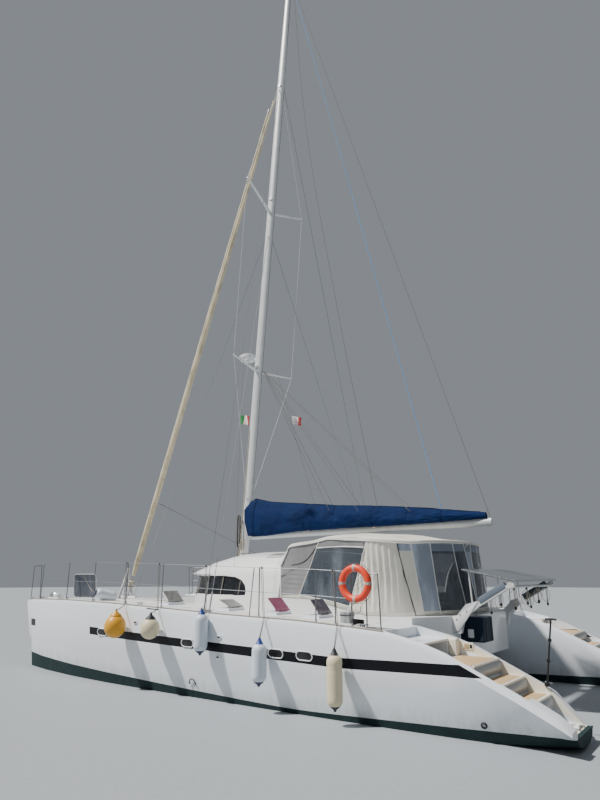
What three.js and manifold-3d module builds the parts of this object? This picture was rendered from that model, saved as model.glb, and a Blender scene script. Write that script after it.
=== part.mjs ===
// Cruising sailing catamaran, 17 m long, afloat at its moorings.
// Millimetres. X runs forward to the bows, Y to port, Z up; the origin is amidships
// on the centreline, in the plane of the water.
import * as THREE from "three";
import { mergeVertices } from "three/addons/utils/BufferGeometryUtils.js";
import Module from "manifold-3d";

const wasm = await Module();
wasm.setup();

// Driving dimensions
const SEAT = 0.3; // what two fixed pieces leave between them where one rests on the other
const PLAY = 12; // what a moving piece leaves to a fixed one
const HULL_Y = 3550; // centreline of each hull
const INNER_Y = 2750; // inboard face of each hull, where the bridge deck meets it
const SOLE_Z = 1400; // floor of saloon, cockpit and stern landings
const BRIDGE_AFT_X = -5850;
const BRIDGE_FRONT_X = 4700;
const HOUSE_AFT_X = -1400;
const MAST_FOOT = new THREE.Vector3(2190, 0, 3300);
const MAST_HEAD = new THREE.Vector3(468, 0, 26500);
const HOUNDS_Z = 21800;
const GOOSENECK = new THREE.Vector3(1920, 0, 3960);
const BOOM_END = new THREE.Vector3(-6080, 0, 4040);
const CHAINPLATE = new THREE.Vector3(-450, 4400, 1900);
const RUDDER_X = -7050;
const PROPELLER = new THREE.Vector3(-5800, HULL_Y, -900);
const WHEEL = new THREE.Vector3(-4700, 1750, 2450);

const PAINT = {
  gelcoat: { color: 0xe9ebec, roughness: 0.3, metalness: 0 },
  antifouling: { color: 0x1d2a2e, roughness: 0.8, metalness: 0 },
  alloy: { color: 0xd9dadb, roughness: 0.4, metalness: 0.4 },
  steel: { color: 0xb9bdc1, roughness: 0.25, metalness: 1 },
  net: { color: 0x9aa0a3, roughness: 0.9, metalness: 0 },
  canvas: { color: 0xd8d5cc, roughness: 0.9, metalness: 0 },
  blueCanvas: { color: 0x1c3f7c, roughness: 0.85, metalness: 0 },
  sail: { color: 0xd9cba9, roughness: 0.8, metalness: 0 },
  glass: { color: 0x20262b, roughness: 0.1, metalness: 0 },
  tinted: { color: 0x8a5a62, roughness: 0.2, metalness: 0 },
  panel: { color: 0x59616a, roughness: 0.3, metalness: 0 },
  orange: { color: 0xe2583a, roughness: 0.6, metalness: 0 },
  yellow: { color: 0xd9a41f, roughness: 0.6, metalness: 0 },
  cream: { color: 0xe3dcc4, roughness: 0.6, metalness: 0 },
  white: { color: 0xe8edf2, roughness: 0.5, metalness: 0 },
  wood: { color: 0xa9793f, roughness: 0.7, metalness: 0 },
  bronze: { color: 0x9a7b3f, roughness: 0.4, metalness: 0.9 },
  engine: { color: 0x6f7a74, roughness: 0.6, metalness: 0.5 },
};

const boat = new THREE.Group();
const v3 = (x, y, z) => new THREE.Vector3(x, y, z);

// A closed geometry as a solid, its faces turned outwards if they are not.
function solidOf(geometry) {
  const loose = geometry.index ? geometry.toNonIndexed() : geometry;
  const bare = new THREE.BufferGeometry().setAttribute("position", loose.getAttribute("position"));
  const merged = mergeVertices(bare, 1e-3);
  const vertProperties = merged.attributes.position.array;
  const triVerts = new Uint32Array(merged.index.array);
  const solid = new wasm.Manifold(new wasm.Mesh({ numProp: 3, vertProperties, triVerts }));
  if (solid.volume() >= 0) return solid;
  for (let i = 0; i < triVerts.length; i += 3) {
    [triVerts[i + 1], triVerts[i + 2]] = [triVerts[i + 2], triVerts[i + 1]];
  }
  return new wasm.Manifold(new wasm.Mesh({ numProp: 3, vertProperties, triVerts }));
}

function geometryOf(solid) {
  const mesh = solid.getMesh();
  const positions = new Float32Array(mesh.numVert * 3);
  for (let i = 0; i < mesh.numVert; i++) {
    positions.set(mesh.vertProperties.subarray(i * mesh.numProp, i * mesh.numProp + 3), i * 3);
  }
  const geometry = new THREE.BufferGeometry();
  geometry.setAttribute("position", new THREE.BufferAttribute(positions, 3));
  geometry.setIndex(new THREE.BufferAttribute(new Uint32Array(mesh.triVerts), 1));
  return geometry;
}

function add(name, solid, paint) {
  const mesh = new THREE.Mesh(geometryOf(solid), new THREE.MeshStandardMaterial(PAINT[paint]));
  mesh.name = name;
  boat.add(mesh);
  return solid;
}

const union = (solids) => solids.reduce((sum, s) => sum.add(s));
const cut = (solid, tools) => tools.reduce((rest, t) => rest.subtract(t), solid);
const moved = (solid, x, y, z) => solid.translate([x, y, z]);
const starboard = (solid) => solid.mirror([0, 1, 0]);
const largest = (solid) => solid.decompose().sort((a, b) => b.volume() - a.volume())[0];

function box(x0, x1, y0, y1, z0, z1) {
  const geometry = new THREE.BoxGeometry(x1 - x0, y1 - y0, z1 - z0);
  return solidOf(geometry.translate((x0 + x1) / 2, (y0 + y1) / 2, (z0 + z1) / 2));
}

// A round bar from a to b, tapered where it has an end radius; flat squeezes it across the ship.
function bar(a, b, radius, sides = 8, endRadius = radius, flat = 1) {
  const along = b.clone().sub(a);
  const length = along.length();
  along.normalize();
  const across = Math.abs(along.y) < 0.9 ? v3(0, 1, 0) : v3(0, 0, 1);
  across.addScaledVector(along, -across.dot(along)).normalize();
  const turn = new THREE.Matrix4().makeBasis(along.clone().cross(across), along, across);
  const geometry = new THREE.CylinderGeometry(endRadius, radius, length, sides);
  geometry.scale(1, 1, flat).translate(0, length / 2, 0).applyMatrix4(turn);
  return solidOf(geometry.translate(a.x, a.y, a.z));
}

function ball(centre, radius, columns = 12, rows = 8) {
  const geometry = new THREE.SphereGeometry(radius, columns, rows);
  return solidOf(geometry.translate(centre.x, centre.y, centre.z));
}

// Bars from point to point that stop just short of each joint, which a ball or a post fills.
function run(points, radius, sides = 6, joints = true) {
  const last = points.length - 2;
  const pieces = points.slice(1).map((p, i) => {
    const short = p.clone().sub(points[i]).setLength(radius * 0.25);
    const start = i > 0 ? points[i].clone().add(short) : points[i];
    return bar(start, i < last ? p.clone().sub(short) : p, radius, sides);
  });
  const balls = joints ? points.slice(1, -1).map((p) => ball(p, radius * 1.25, 6, 4)) : [];
  return union([...pieces, ...balls]);
}

// An outline of [u, v] pairs drawn out along one axis: "x" takes y,z; "y" takes x,z; "z" takes x,y.
function prism(axis, outline, from, to) {
  const shape = new THREE.Shape(outline.map(([u, v]) => new THREE.Vector2(u, v)));
  const geometry = new THREE.ExtrudeGeometry(shape, { depth: to - from, bevelEnabled: false });
  const place = { x: (u, v, w) => [w, u, v], y: (u, v, w) => [u, w, v], z: (u, v, w) => [u, v, w] };
  const p = geometry.getAttribute("position");
  for (let i = 0; i < p.count; i++) {
    p.setXYZ(i, ...place[axis](p.getX(i), p.getY(i), p.getZ(i) + from));
  }
  return solidOf(geometry);
}

// Rings of equal point counts joined in order, the ends closed to their middles.
function loft(rings) {
  const count = rings[0].length;
  const points = [];
  const ends = [rings[0], rings[rings.length - 1]].map((ring) =>
    ring.reduce((sum, p) => sum.add(p), v3(0, 0, 0)).divideScalar(count),
  );
  for (let r = 0; r + 1 < rings.length; r++) {
    for (let i = 0; i < count; i++) {
      const j = (i + 1) % count;
      points.push(rings[r][i], rings[r][j], rings[r + 1][i]);
      points.push(rings[r][j], rings[r + 1][j], rings[r + 1][i]);
    }
  }
  for (let i = 0; i < count; i++) {
    const j = (i + 1) % count;
    points.push(ends[0], rings[0][j], rings[0][i]);
    points.push(ends[1], rings[rings.length - 1][i], rings[rings.length - 1][j]);
  }
  return solidOf(new THREE.BufferGeometry().setFromPoints(points));
}

// Straight-line value of a column at x, from rows sorted from bow to stern.
function valueAt(rows, column, x) {
  const last = rows[rows.length - 1];
  if (x >= rows[0].x) return rows[0][column];
  if (x <= last.x) return last[column];
  const i = rows.findIndex((row) => row.x <= x);
  const share = (x - rows[i].x) / (rows[i - 1].x - rows[i].x);
  return rows[i][column] + share * (rows[i - 1][column] - rows[i][column]);
}

// Port hull stations: x, deck height, outer and inner deck edge, half beam at the turn of
// the bilge, keel height and height of the bilge above the keel.
const STATIONS = [
  [8530, 1985, 3620, 3480, 30, -450, 450],
  [8000, 2005, 3800, 3350, 110, -580, 500],
  [6800, 2035, 4120, 3110, 290, -700, 570],
  [5200, 2055, 4370, 2900, 470, -780, 600],
  [4700, 2052, 4420, INNER_Y, 520, -800, 620],
  [3200, 2030, 4520, INNER_Y, 620, -820, 640],
  [1000, 1965, 4570, INNER_Y, 680, -820, 640],
  [-1200, 1885, 4575, INNER_Y, 700, -780, 620],
  [-3300, 1835, 4565, INNER_Y, 700, -680, 570],
  [-4600, 1765, 4555, INNER_Y, 690, -580, 520],
  [-5300, 1715, 4545, INNER_Y, 680, -500, 480],
  [-6000, 1570, 4535, INNER_Y, 670, -410, 440],
  [-6500, 1410, 4525, INNER_Y, 660, -340, 410],
  [-7100, 1140, 4505, 2765, 640, -230, 360],
  [-7750, 840, 4475, 2785, 610, -100, 290],
  [-8300, 560, 4440, 2810, 570, 0, 210],
  [-8530, 380, 4420, 2825, 545, 30, 180],
].map(([x, deck, outer, inner, beam, keel, bilge]) => ({ x, deck, outer, inner, beam, keel, bilge }));
const hullAt = (column, x) => valueAt(STATIONS, column, x);
const WALL_FOOT_Z = 700; // the inboard side is upright from here to the deck along the bridge deck
// The stem rakes aft on its way down, by this share of the drop at the bow and less from there aft.
const RAKE = { slope: 0.325, start: 4700 };

function hullRing({ x, deck, outer, inner, beam, keel, bilge }) {
  const rake = RAKE.slope * (Math.max(0, x - RAKE.start) / (STATIONS[0].x - RAKE.start)) ** 2;
  const chine = keel + bilge;
  const round = Math.min(110, (deck - chine) * 0.35);
  const foot = Math.min(WALL_FOOT_Z, chine + (deck - chine) * 0.5);
  const side = (edge, sign) => {
    const middle = sign > 0 ? HULL_Y + beam + (edge - HULL_Y - beam) * 0.62 : edge;
    return [
      [edge - sign * round, deck],
      [edge - sign * round * 0.28, deck - round * 0.28],
      [edge, deck - round],
      [middle, sign > 0 ? chine + (deck - chine) * 0.45 : foot],
      [HULL_Y + sign * beam, chine],
      [HULL_Y + sign * beam * 0.9, chine - bilge * 0.45],
      [HULL_Y + sign * beam * 0.55, chine - bilge * 0.84],
    ];
  };
  const ring = [...side(outer, 1), [HULL_Y, keel], ...side(inner, -1).reverse()];
  return ring.map(([y, z]) => v3(x - rake * (deck - z), y, z));
}

// Fin keel under each hull: [x ahead of and behind its middle, half thickness, height]
const KEEL_X = 200;
const KEEL_LEVELS = [
  { ahead: 1750, behind: 1650, half: 150, z: -600 },
  { ahead: 1450, behind: 1450, half: 125, z: -1150 },
  { ahead: 1250, behind: 1350, half: 90, z: -1400 },
];
function finRing({ ahead, behind, half, z }) {
  const side = [[ahead * 0.7, half * 0.75], [ahead * 0.2, half], [-behind * 0.5, half * 0.7], [-behind, 8]];
  const far = side.map(([x, y]) => [x, -y]).reverse();
  return [[ahead, 0], ...side, ...far].map(([x, y]) => v3(KEEL_X + x, HULL_Y + y, z));
}

// Stern well: treads going down aft. Each ends inside the hull's side, which leans in lower down.
const WELL_INNER_Y = 3000;
const TREADS = [
  { from: -5300, to: -6050, z: 1530, outer: 4390 },
  { from: -6050, to: -6990, z: 1220, outer: 4390 },
  { from: -6990, to: -7440, z: 940, outer: 4390 },
  { from: -7440, to: -7880, z: 680, outer: 4340 },
  { from: -7880, to: -8600, z: 240, outer: 4080 },
];
const WELL_TOP_Z = 2600;
// Locker under the upper landing, open aft, and the dip in the well's inboard side at the platform.
const LOCKER = { x0: -6060, x1: -5650, y0: 3200, y1: 4300, z0: 1270, z1: 1495 };
const DIP = [
  [-7500, 1300], [-7500, 1010], [-7950, 700], [-8180, 455], [-8400, 240], [-8600, 240], [-8600, 1300],
];

// Deck hatches: aft edge of each opening, and how far its lid stands open on the aft hinge, in
// degrees. Each opening has a raised rim.
const HATCHES = [{ x: 1570, open: 43 }, { x: -600, open: 24 }, { x: -2080, open: 45 }, { x: -3275, open: 50 }];
const HATCH_Y = 3450;
const HATCH = { length: 345, width: 480, thick: 24, pocket: 90, lap: 24, barrel: 12, rim: 60, rimWidth: 50 };
const rimTop = (x) => deckZ(x) + HATCH.rim;
const hatchBox = (x, margin, z0, z1) => box(x - margin, x + HATCH.length + margin,
  HATCH_Y - HATCH.width / 2 - margin, HATCH_Y + HATCH.width / 2 + margin, z0, z1);

const ENGINE = { x0: -5250, x1: -4300, half: 280, z0: -150, z1: 520 };
const LEG_HOLE = { x0: -5620, x1: -5260, half: 110 };
const STOCK_RADIUS = 45;
const STOCK_TOP_Z = 480;

function deckZ(x) {
  return hullAt("deck", x);
}

function buildHull() {
  const rims = HATCHES.map(({ x }) => hatchBox(x, HATCH.rimWidth, deckZ(x) - HATCH.rim, rimTop(x)));
  const shell = union([loft(STATIONS.map(hullRing)), loft(KEEL_LEVELS.map(finRing)), ...rims]);
  const wells = TREADS.map(({ from, to, z, outer }) => box(to - 2, from, WELL_INNER_Y, outer, z, WELL_TOP_Z));
  const locker = box(LOCKER.x0, LOCKER.x1, LOCKER.y0, LOCKER.y1, LOCKER.z0, LOCKER.z1);
  const dip = prism("y", DIP, INNER_Y - 100, WELL_INNER_Y + 1);
  const hatches = HATCHES.map(({ x }) => hatchBox(x, 0, deckZ(x) - HATCH.pocket, WELL_TOP_Z));
  const engineBay = box(LEG_HOLE.x0, ENGINE.x1 + 60, HULL_Y - ENGINE.half - 60, HULL_Y + ENGINE.half + 60,
    ENGINE.z0 - SEAT, ENGINE.z1 + 80);
  const legHole = box(LEG_HOLE.x0, LEG_HOLE.x1, HULL_Y - LEG_HOLE.half, HULL_Y + LEG_HOLE.half, -900, 0);
  const bore = bar(v3(RUDDER_X, HULL_Y, -800), v3(RUDDER_X, HULL_Y, STOCK_TOP_Z + PLAY),
    (STOCK_RADIUS + SEAT) / Math.cos(Math.PI / 24), 24);
  return cut(shell, [engineBay, legHole, bore, ...wells, dip, locker, ...hatches]);
}
const hull = buildHull();
add("hull_port", hull, "gelcoat");
add("hull_starboard", starboard(hull), "gelcoat");

// Engine block with its drive leg, hung through the hull bottom.
const POD_END_X = -5700;
const SHAFT = { radius: 20, depth: 60 };
const DRIVE_LEG = [[-5560, 100], [-5330, 100], [-5360, -780], [-5390, -1100], [-5500, -1100], [-5540, -780]];
const onShaft = (x) => v3(x, HULL_Y, PROPELLER.z);
function buildDrive() {
  const block = box(ENGINE.x0, ENGINE.x1, HULL_Y - ENGINE.half, HULL_Y + ENGINE.half, ENGINE.z0, ENGINE.z1);
  const neck = box(-5560, ENGINE.x0 + 60, HULL_Y - 80, HULL_Y + 80, ENGINE.z0 + 40, 160);
  const leg = prism("y", DRIVE_LEG, HULL_Y - 45, HULL_Y + 45);
  const pod = bar(onShaft(-5300), onShaft(POD_END_X), 75, 12);
  const boreRadius = (SHAFT.radius + SEAT) / Math.cos(Math.PI / 16);
  const bore = bar(onShaft(POD_END_X + SHAFT.depth + 6), onShaft(POD_END_X - 6), boreRadius, 16);
  return union([block, neck, leg, pod]).subtract(bore);
}
const drive = buildDrive();
add("engine_and_drive_port", drive, "engine");
add("engine_and_drive_starboard", starboard(drive), "engine");

// Three-bladed propeller on a stub shaft that turns in the drive.
function buildPropeller() {
  const hub = bar(onShaft(POD_END_X - 8), onShaft(-5890), 52, 12, 26);
  const shaft = bar(onShaft(POD_END_X + SHAFT.depth), onShaft(POD_END_X - 20), SHAFT.radius, 16);
  const blades = [0, 1, 2].map((i) => {
    const blade = new THREE.CylinderGeometry(105, 105, 14, 12).scale(0.62, 1, 1).rotateZ(Math.PI / 2);
    blade.rotateZ(0.5).translate(0, 0, 120).rotateX((i * 2 * Math.PI) / 3);
    return solidOf(blade.translate(PROPELLER.x, PROPELLER.y, PROPELLER.z));
  });
  return union([hub, shaft, ...blades]);
}
const propeller = buildPropeller();
add("propeller_port", propeller, "bronze");
add("propeller_starboard", starboard(propeller), "bronze");

// Spade rudder on its stock.
function buildRudder() {
  const half = 42;
  const section = (z, ahead, behind) => {
    const side = [[ahead * 0.5, half * 0.8], [0, half], [-behind * 0.5, half * 0.6], [-behind, 5]];
    const far = side.map(([x, y]) => [x, -y]).reverse();
    return [[ahead, 0], ...side, ...far].map(([x, y]) => v3(RUDDER_X + x, HULL_Y + y, z));
  };
  const blade = loft([section(-330, 150, 380), section(-800, 140, 350), section(-1180, 110, 290)]);
  const stock = bar(v3(RUDDER_X, HULL_Y, -380), v3(RUDDER_X, HULL_Y, STOCK_TOP_Z), STOCK_RADIUS, 24);
  return blade.add(stock);
}
const rudder = buildRudder();
add("rudder_port", rudder, "antifouling");
add("rudder_starboard", starboard(rudder), "antifouling");

// Bridge deck: floor between the hulls with the foredeck step, the cockpit's side coamings
// and the aft bench moulded on, which goes round the cockpit's aft end.
const BRIDGE_HALF = INNER_Y - SEAT;
const COAMING = { inner: 2600, topFront: 2200, topAft: 1860 };
const BENCH = { depth: 540, top: COAMING.topAft };
const BEND_X = -3900; // the cockpit's sides turn into its round aft end here
// Aft end of the bridge deck in plan, its corners cut off: [x, half breadth]
const CORNERS = [[-5080, BRIDGE_HALF], [-5600, 1600], [BRIDGE_AFT_X, 1100]];

// Plan of an elliptic aft end from port to starboard, as [x, y] pairs.
function roundEnd(half, bend, aft) {
  return Array.from({ length: 17 }, (_, i) => {
    const angle = (Math.PI * i) / 16;
    return [bend - (bend - aft) * Math.sin(angle), half * Math.cos(angle)];
  });
}

function buildBridgeDeck() {
  const floor = prism("y", [
    [BRIDGE_FRONT_X, 2035], [BRIDGE_FRONT_X, 1250], [4250, 900], [3600, 820], [-5400, 820],
    [BRIDGE_AFT_X, 960], [BRIDGE_AFT_X, SOLE_Z], [3350, SOLE_Z], [3350, 2035],
  ], -BRIDGE_HALF, BRIDGE_HALF);
  const recess = roundEnd(COAMING.inner, BEND_X + 2, BRIDGE_AFT_X + BENCH.depth);
  const seat = prism("z", recess, SOLE_Z, BENCH.top + 50);
  const corners = [...CORNERS, ...CORNERS.map(([x, y]) => [x, -y]).reverse()];
  const plan = (front) => [[front, BRIDGE_HALF], ...corners, [front, -BRIDGE_HALF]];
  const bench = prism("z", plan(BEND_X), SOLE_Z - 50, BENCH.top).subtract(seat);
  const coaming = prism("y", [
    [HOUSE_AFT_X - SEAT, SOLE_Z - 50], [HOUSE_AFT_X - SEAT, COAMING.topFront], [-2300, 2180],
    [BEND_X - 2, COAMING.topAft], [BEND_X - 2, SOLE_Z - 50],
  ], COAMING.inner, BRIDGE_HALF);
  const whole = prism("z", plan(BRIDGE_FRONT_X + 1), 0, 3000);
  return union([floor, bench, coaming, starboard(coaming)]).intersect(whole);
}
const bridge = add("bridge_deck", buildBridgeDeck(), "gelcoat");

// Saloon house: levels of its skin. The brow over the front windows is solid, so there the room
// inside has a nose of its own.
const HOUSE_LEVELS = [
  { z: SOLE_Z + SEAT, half: BRIDGE_HALF, nose: 3250 },
  { z: 2220, half: BRIDGE_HALF, nose: 3220 },
  { z: 2735, half: 2620, nose: 3160 },
  { z: 2790, half: 2605, nose: 3570, room: 3160 },
  { z: 2870, half: 2570, nose: 3280 },
  { z: 2990, half: 2490, nose: 2830 },
  { z: 3100, half: 2380, nose: 2470 },
  { z: 3180, half: 2270, nose: 1980 },
  { z: 3250, half: 2130, nose: 1600 },
  { z: 3330, half: 1700, nose: 1180 },
  { z: 3400, half: 1000, nose: 900 },
];
const NOSE_START_X = 300;
const WALL = 60;

function houseRing({ z, half, nose }, inset = 0) {
  const ring = [v3(HOUSE_AFT_X + inset, half - inset, z)];
  const reach = nose - NOSE_START_X - inset;
  for (let i = 0; i <= 12; i++) {
    const angle = (Math.PI * i) / 12;
    ring.push(v3(NOSE_START_X + reach * Math.sin(angle), (half - inset) * Math.cos(angle), z));
  }
  ring.push(v3(HOUSE_AFT_X + inset, -(half - inset), z));
  return ring;
}
const WINDOW_BAND = [
  [3600, 2240], [60, 2240], [-280, 2250], [-290, 2330], [-225, 2480], [-70, 2610], [170, 2690], [600, 2720],
  [3600, 2732],
];
const DOOR = { half: 700, z1: 3120 };
const DOOR_X = HOUSE_AFT_X + 52;
const shrunk = (outline, by) => {
  const middle = outline.reduce(([a, b], [x, z]) => [a + x / outline.length, b + z / outline.length], [0, 0]);
  return outline.map(([x, z]) => [x + Math.sign(middle[0] - x) * by, z + Math.sign(middle[1] - z) * by]);
};

const houseLayer = (inset) => loft(HOUSE_LEVELS.map((level) => houseRing(level, inset)));
// The space inside a skin of that thickness, open below.
const houseRoom = (skin) => loft([
  houseRing({ ...HOUSE_LEVELS[0], z: SOLE_Z - 200 }, skin),
  ...HOUSE_LEVELS.map(({ z, half, nose, room = nose }) => houseRing({ z: z - skin, half, nose: room }, skin)),
]);

function buildHouse() {
  const window = prism("y", WINDOW_BAND, -3000, 3000);
  const aftOpening = box(HOUSE_AFT_X - 100, HOUSE_AFT_X + WALL + 50, -2200, 2200, SOLE_Z - 100, 3150);
  return cut(houseLayer(0), [houseRoom(WALL), window, aftOpening]);
}
add("saloon_house", buildHouse(), "gelcoat");

const GLASS = { outer: 20, inner: 34 }; // its faces, from the outside of the skin
const glassBand = houseLayer(GLASS.outer).subtract(houseRoom(GLASS.inner))
  .intersect(prism("y", shrunk(WINDOW_BAND, 0.5), -3000, 3000));
add("saloon_window_band", glassBand, "glass");

// Aft bulkhead of glass in a frame, with the doorway on the centreline.
function buildBulkhead() {
  const panel = box(HOUSE_AFT_X + 5, HOUSE_AFT_X + 45, -2200 + SEAT, 2200 - SEAT, SOLE_Z + SEAT, 3150 - SEAT);
  const doorway = box(HOUSE_AFT_X - 50, HOUSE_AFT_X + 100, -DOOR.half, DOOR.half, SOLE_Z - 10, DOOR.z1);
  const lights = [box(HOUSE_AFT_X - 50, HOUSE_AFT_X + 100, 900, 2080, 2200, 3000)];
  const track = box(HOUSE_AFT_X + 40, DOOR_X + 32, -2150, DOOR.half + 60, SOLE_Z + SEAT, SOLE_Z + 8 - SEAT);
  return cut(panel, [doorway, ...lights, ...lights.map(starboard)]).add(track);
}
add("saloon_bulkhead", buildBulkhead(), "gelcoat");
add("saloon_door", cut(
  box(DOOR_X, DOOR_X + 30, -DOOR.half - 40, DOOR.half + 40, SOLE_Z + 8, DOOR.z1 - 4),
  [box(DOOR_X - 10, DOOR_X + 22, -600, 600, 1600, 3000)],
), "glass");

// Saloon seating and table.
add("saloon_settee", union([
  box(600, 1700, 1600, 2250, SOLE_Z + SEAT, 1830),
  box(1600, 2200, -600, 1700, SOLE_Z + SEAT, 1830),
  box(-300, 620, 1600, 2250, SOLE_Z + SEAT, 1830),
]), "cream");
add("saloon_galley", box(-1250, 900, -2450, -1800, SOLE_Z + SEAT, 2150), "gelcoat");

// Front beam with the strut that spreads the forestay bridle.
const BEAM = { x: 8050, z: 1830, radius: 110 };
function buildFrontBeam() {
  const spar = bar(v3(BEAM.x, -3550, BEAM.z), v3(BEAM.x, 3550, BEAM.z), BEAM.radius, 16);
  const apex = v3(7960, 0, 2950);
  const legs = [-1, 1].map((s) => bar(v3(BEAM.x, s * 330, BEAM.z), apex, 56, 10, 44));
  const tang = box(7700, 8100, -14, 14, 1800, 2120);
  const clear = [moved(hull, 0, -SEAT, 0), moved(starboard(hull), 0, SEAT, 0)];
  return cut(union([spar, ...legs, ball(apex, 60, 10, 6), tang]), [hull, starboard(hull), ...clear]);
}
const beam = add("front_beam", buildFrontBeam(), "alloy");

// Centre walkway from the bridge deck to the front beam, with the anchor roller at its head.
add("centre_walkway", cut(union([
  box(BRIDGE_FRONT_X + SEAT, 7930, -240, 240, 1750, 1950),
  box(7400, 8420, -70, 70, 1955, 2010),
  box(7400, 7900, -70, 70, 1940, 1960),
]), [
  bar(v3(BEAM.x, -600, BEAM.z), v3(BEAM.x, 600, BEAM.z), BEAM.radius + SEAT, 16),
  box(7690, 8110, -15, 15, 1700, 2200),
]), "gelcoat");

// Nets between the walkway, the hulls, the bridge deck and the front beam.
const NET = { z0: 1905, z1: 1925 };
function buildNet() {
  const outline = [[BRIDGE_FRONT_X + SEAT, 240 + SEAT], [7930, 240 + SEAT], [7930, 3280], [6800, 3060],
    [5200, 2850], [BRIDGE_FRONT_X + SEAT, 2700]];
  return prism("z", outline, NET.z0, NET.z1);
}
add("net_port", buildNet(), "net");
add("net_starboard", starboard(buildNet()), "net");

// Cockpit canopy: a bowed cloth roof with a round aft end, on a frame, with cloth walls.
const CANOPY = {
  front: -1440, bend: BEND_X, aft: -5400, half: 2700, camber: 190, thick: 40, wall: 14, spread: 160,
};
// Height of the roof's edge along the boat. It slopes down to the coachroof at its front.
const ROOF_EDGE = [[-1720, 3500], [-2870, 3650], [-3620, 3630], [-4260, 3550], [-4680, 3490], [-5400, 3380]]
  .map(([x, z]) => ({ x, z }));
// Height of the canopy's front edge, over the coachroof's aft edge, by distance from the centreline.
const FRONT_EDGE = [[2700, 3020], [2300, 3200], [2000, 3300], [1500, 3380], [0, 3420]]
  .map(([x, z]) => ({ x, z }));
function roofZ(x, y) {
  const camber = CANOPY.camber * (1 - (y / CANOPY.half) ** 2);
  const slope = Math.max(0, (x - ROOF_EDGE[0].x) / (CANOPY.front - ROOF_EDGE[0].x));
  return (valueAt(ROOF_EDGE, "z", x) + camber) * (1 - slope) + valueAt(FRONT_EDGE, "z", Math.abs(y)) * slope;
}
// Half breadth of the roof's plan at x.
function canopyHalf(x) {
  const reach = Math.min(1, Math.max(0, (CANOPY.bend - x) / (CANOPY.bend - CANOPY.aft)));
  return CANOPY.half * Math.sqrt(1 - reach ** 2);
}
const ROOF_X = [-1440, -1720, -2300, -2870, -3400, -3900, -4300, -4680, -5000, -5220, -5340, -5390, -5399];
const ROOF_SHARES = [-1, -0.88, -0.75, -0.4, 0, 0.4, 0.75, 0.88, 1];
function buildCanopyRoof() {
  return loft(ROOF_X.map((x) => {
    const edge = ROOF_SHARES.map((share) => share * canopyHalf(x));
    const top = edge.map((y) => v3(x, y, roofZ(x, y)));
    const under = edge.map((y) => v3(x, y, roofZ(x, y) - CANOPY.thick)).reverse();
    return [...top, ...under];
  }));
}
const canopyRoof = add("canopy_roof", buildCanopyRoof(), "canvas");
const underRoof = moved(canopyRoof, 0, 0, -SEAT);

// Stainless hoops on the coamings, joined by two rails; pads over the rails carry the roof.
const HOOP_X = [-1800, -3000, -4100];
const HOOP = { y: CANOPY.half - 140, foot: 2625, rail: 1020, below: 28, radius: 18 };
function buildCanopyFrame() {
  const at = (x, y) => v3(x, y, roofZ(x, y) - CANOPY.thick - HOOP.below);
  const hoops = HOOP_X.map((x) => run([
    v3(x, HOOP.foot, SOLE_Z + 400), at(x, HOOP.y), at(x, HOOP.rail),
    at(x, -HOOP.rail), at(x, -HOOP.y), v3(x, -HOOP.foot, SOLE_Z + 400),
  ], HOOP.radius));
  const rails = [-1, 1].map((s) => run(HOOP_X.map((x) => at(x, s * HOOP.rail)), 12, 6, false));
  const pads = HOOP_X.flatMap((x) => [-1, 1].map((s) => {
    const { y, z } = at(x, s * HOOP.rail);
    return box(x - 10, x + 10, y - 10, y + 10, z, z + HOOP.below + 15);
  }));
  return cut(union([...hoops, ...rails, ...pads]), [moved(bridge, 0, 0, SEAT), underRoof]);
}
add("canopy_frame", largest(buildCanopyFrame()), "steel");

// Upright wall along one side, from the saloon house to the bend.
function buildCanopySide() {
  const front = CANOPY.front - 20;
  const outline = [[front, COAMING.topFront + 2], [front, 3700], [CANOPY.bend, 3800],
    [CANOPY.bend, COAMING.topAft + 6], [-2300, 2184]];
  const wall = prism("y", outline, CANOPY.half - CANOPY.wall, CANOPY.half);
  return largest(cut(wall, [underRoof, starboard(underRoof)]));
}
add("canopy_side_port", buildCanopySide(), "canvas");
add("canopy_side_starboard", starboard(buildCanopySide()), "canvas");

// Round aft wall, which stands out towards its foot.
function buildCanopyAft() {
  const level = (z, out, inset) =>
    roundEnd(CANOPY.half - inset, CANOPY.bend - 2, CANOPY.aft - 2 - out + inset).map(([x, y]) => v3(x, y, z));
  const { wall, spread } = CANOPY;
  const shell = loft([level(BENCH.top + 14, spread, 0), level(3700, -40, 40)]);
  const inside = loft([level(BENCH.top - 100, spread, wall), level(3800, -40, 40 + wall)]);
  const front = box(CANOPY.bend - 4, CANOPY.bend + 100, -2900, 2900, 1500, 4000);
  return largest(cut(shell, [inside, front, underRoof]));
}
add("canopy_aft", buildCanopyAft(), "canvas");

// Helm stations.
const CONSOLE = { aft: -4600, front: -4200, top: 2500, half: 300 };
const WHEEL_HUB_X = WHEEL.x + 60;
function buildConsole() {
  const { aft, front, top, half } = CONSOLE;
  const floor = SOLE_Z + SEAT;
  const profile = [[aft, floor], [front, floor], [front, top], [-4400, top + 120], [-4560, top + 80]];
  const shaft = bar(v3(-4500, WHEEL.y, WHEEL.z), v3(WHEEL_HUB_X, WHEEL.y, WHEEL.z), 40, 12);
  return prism("y", profile, WHEEL.y - half, WHEEL.y + half).add(shaft);
}
add("helm_console_port", buildConsole(), "gelcoat");
add("helm_console_starboard", starboard(buildConsole()), "gelcoat");

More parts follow.
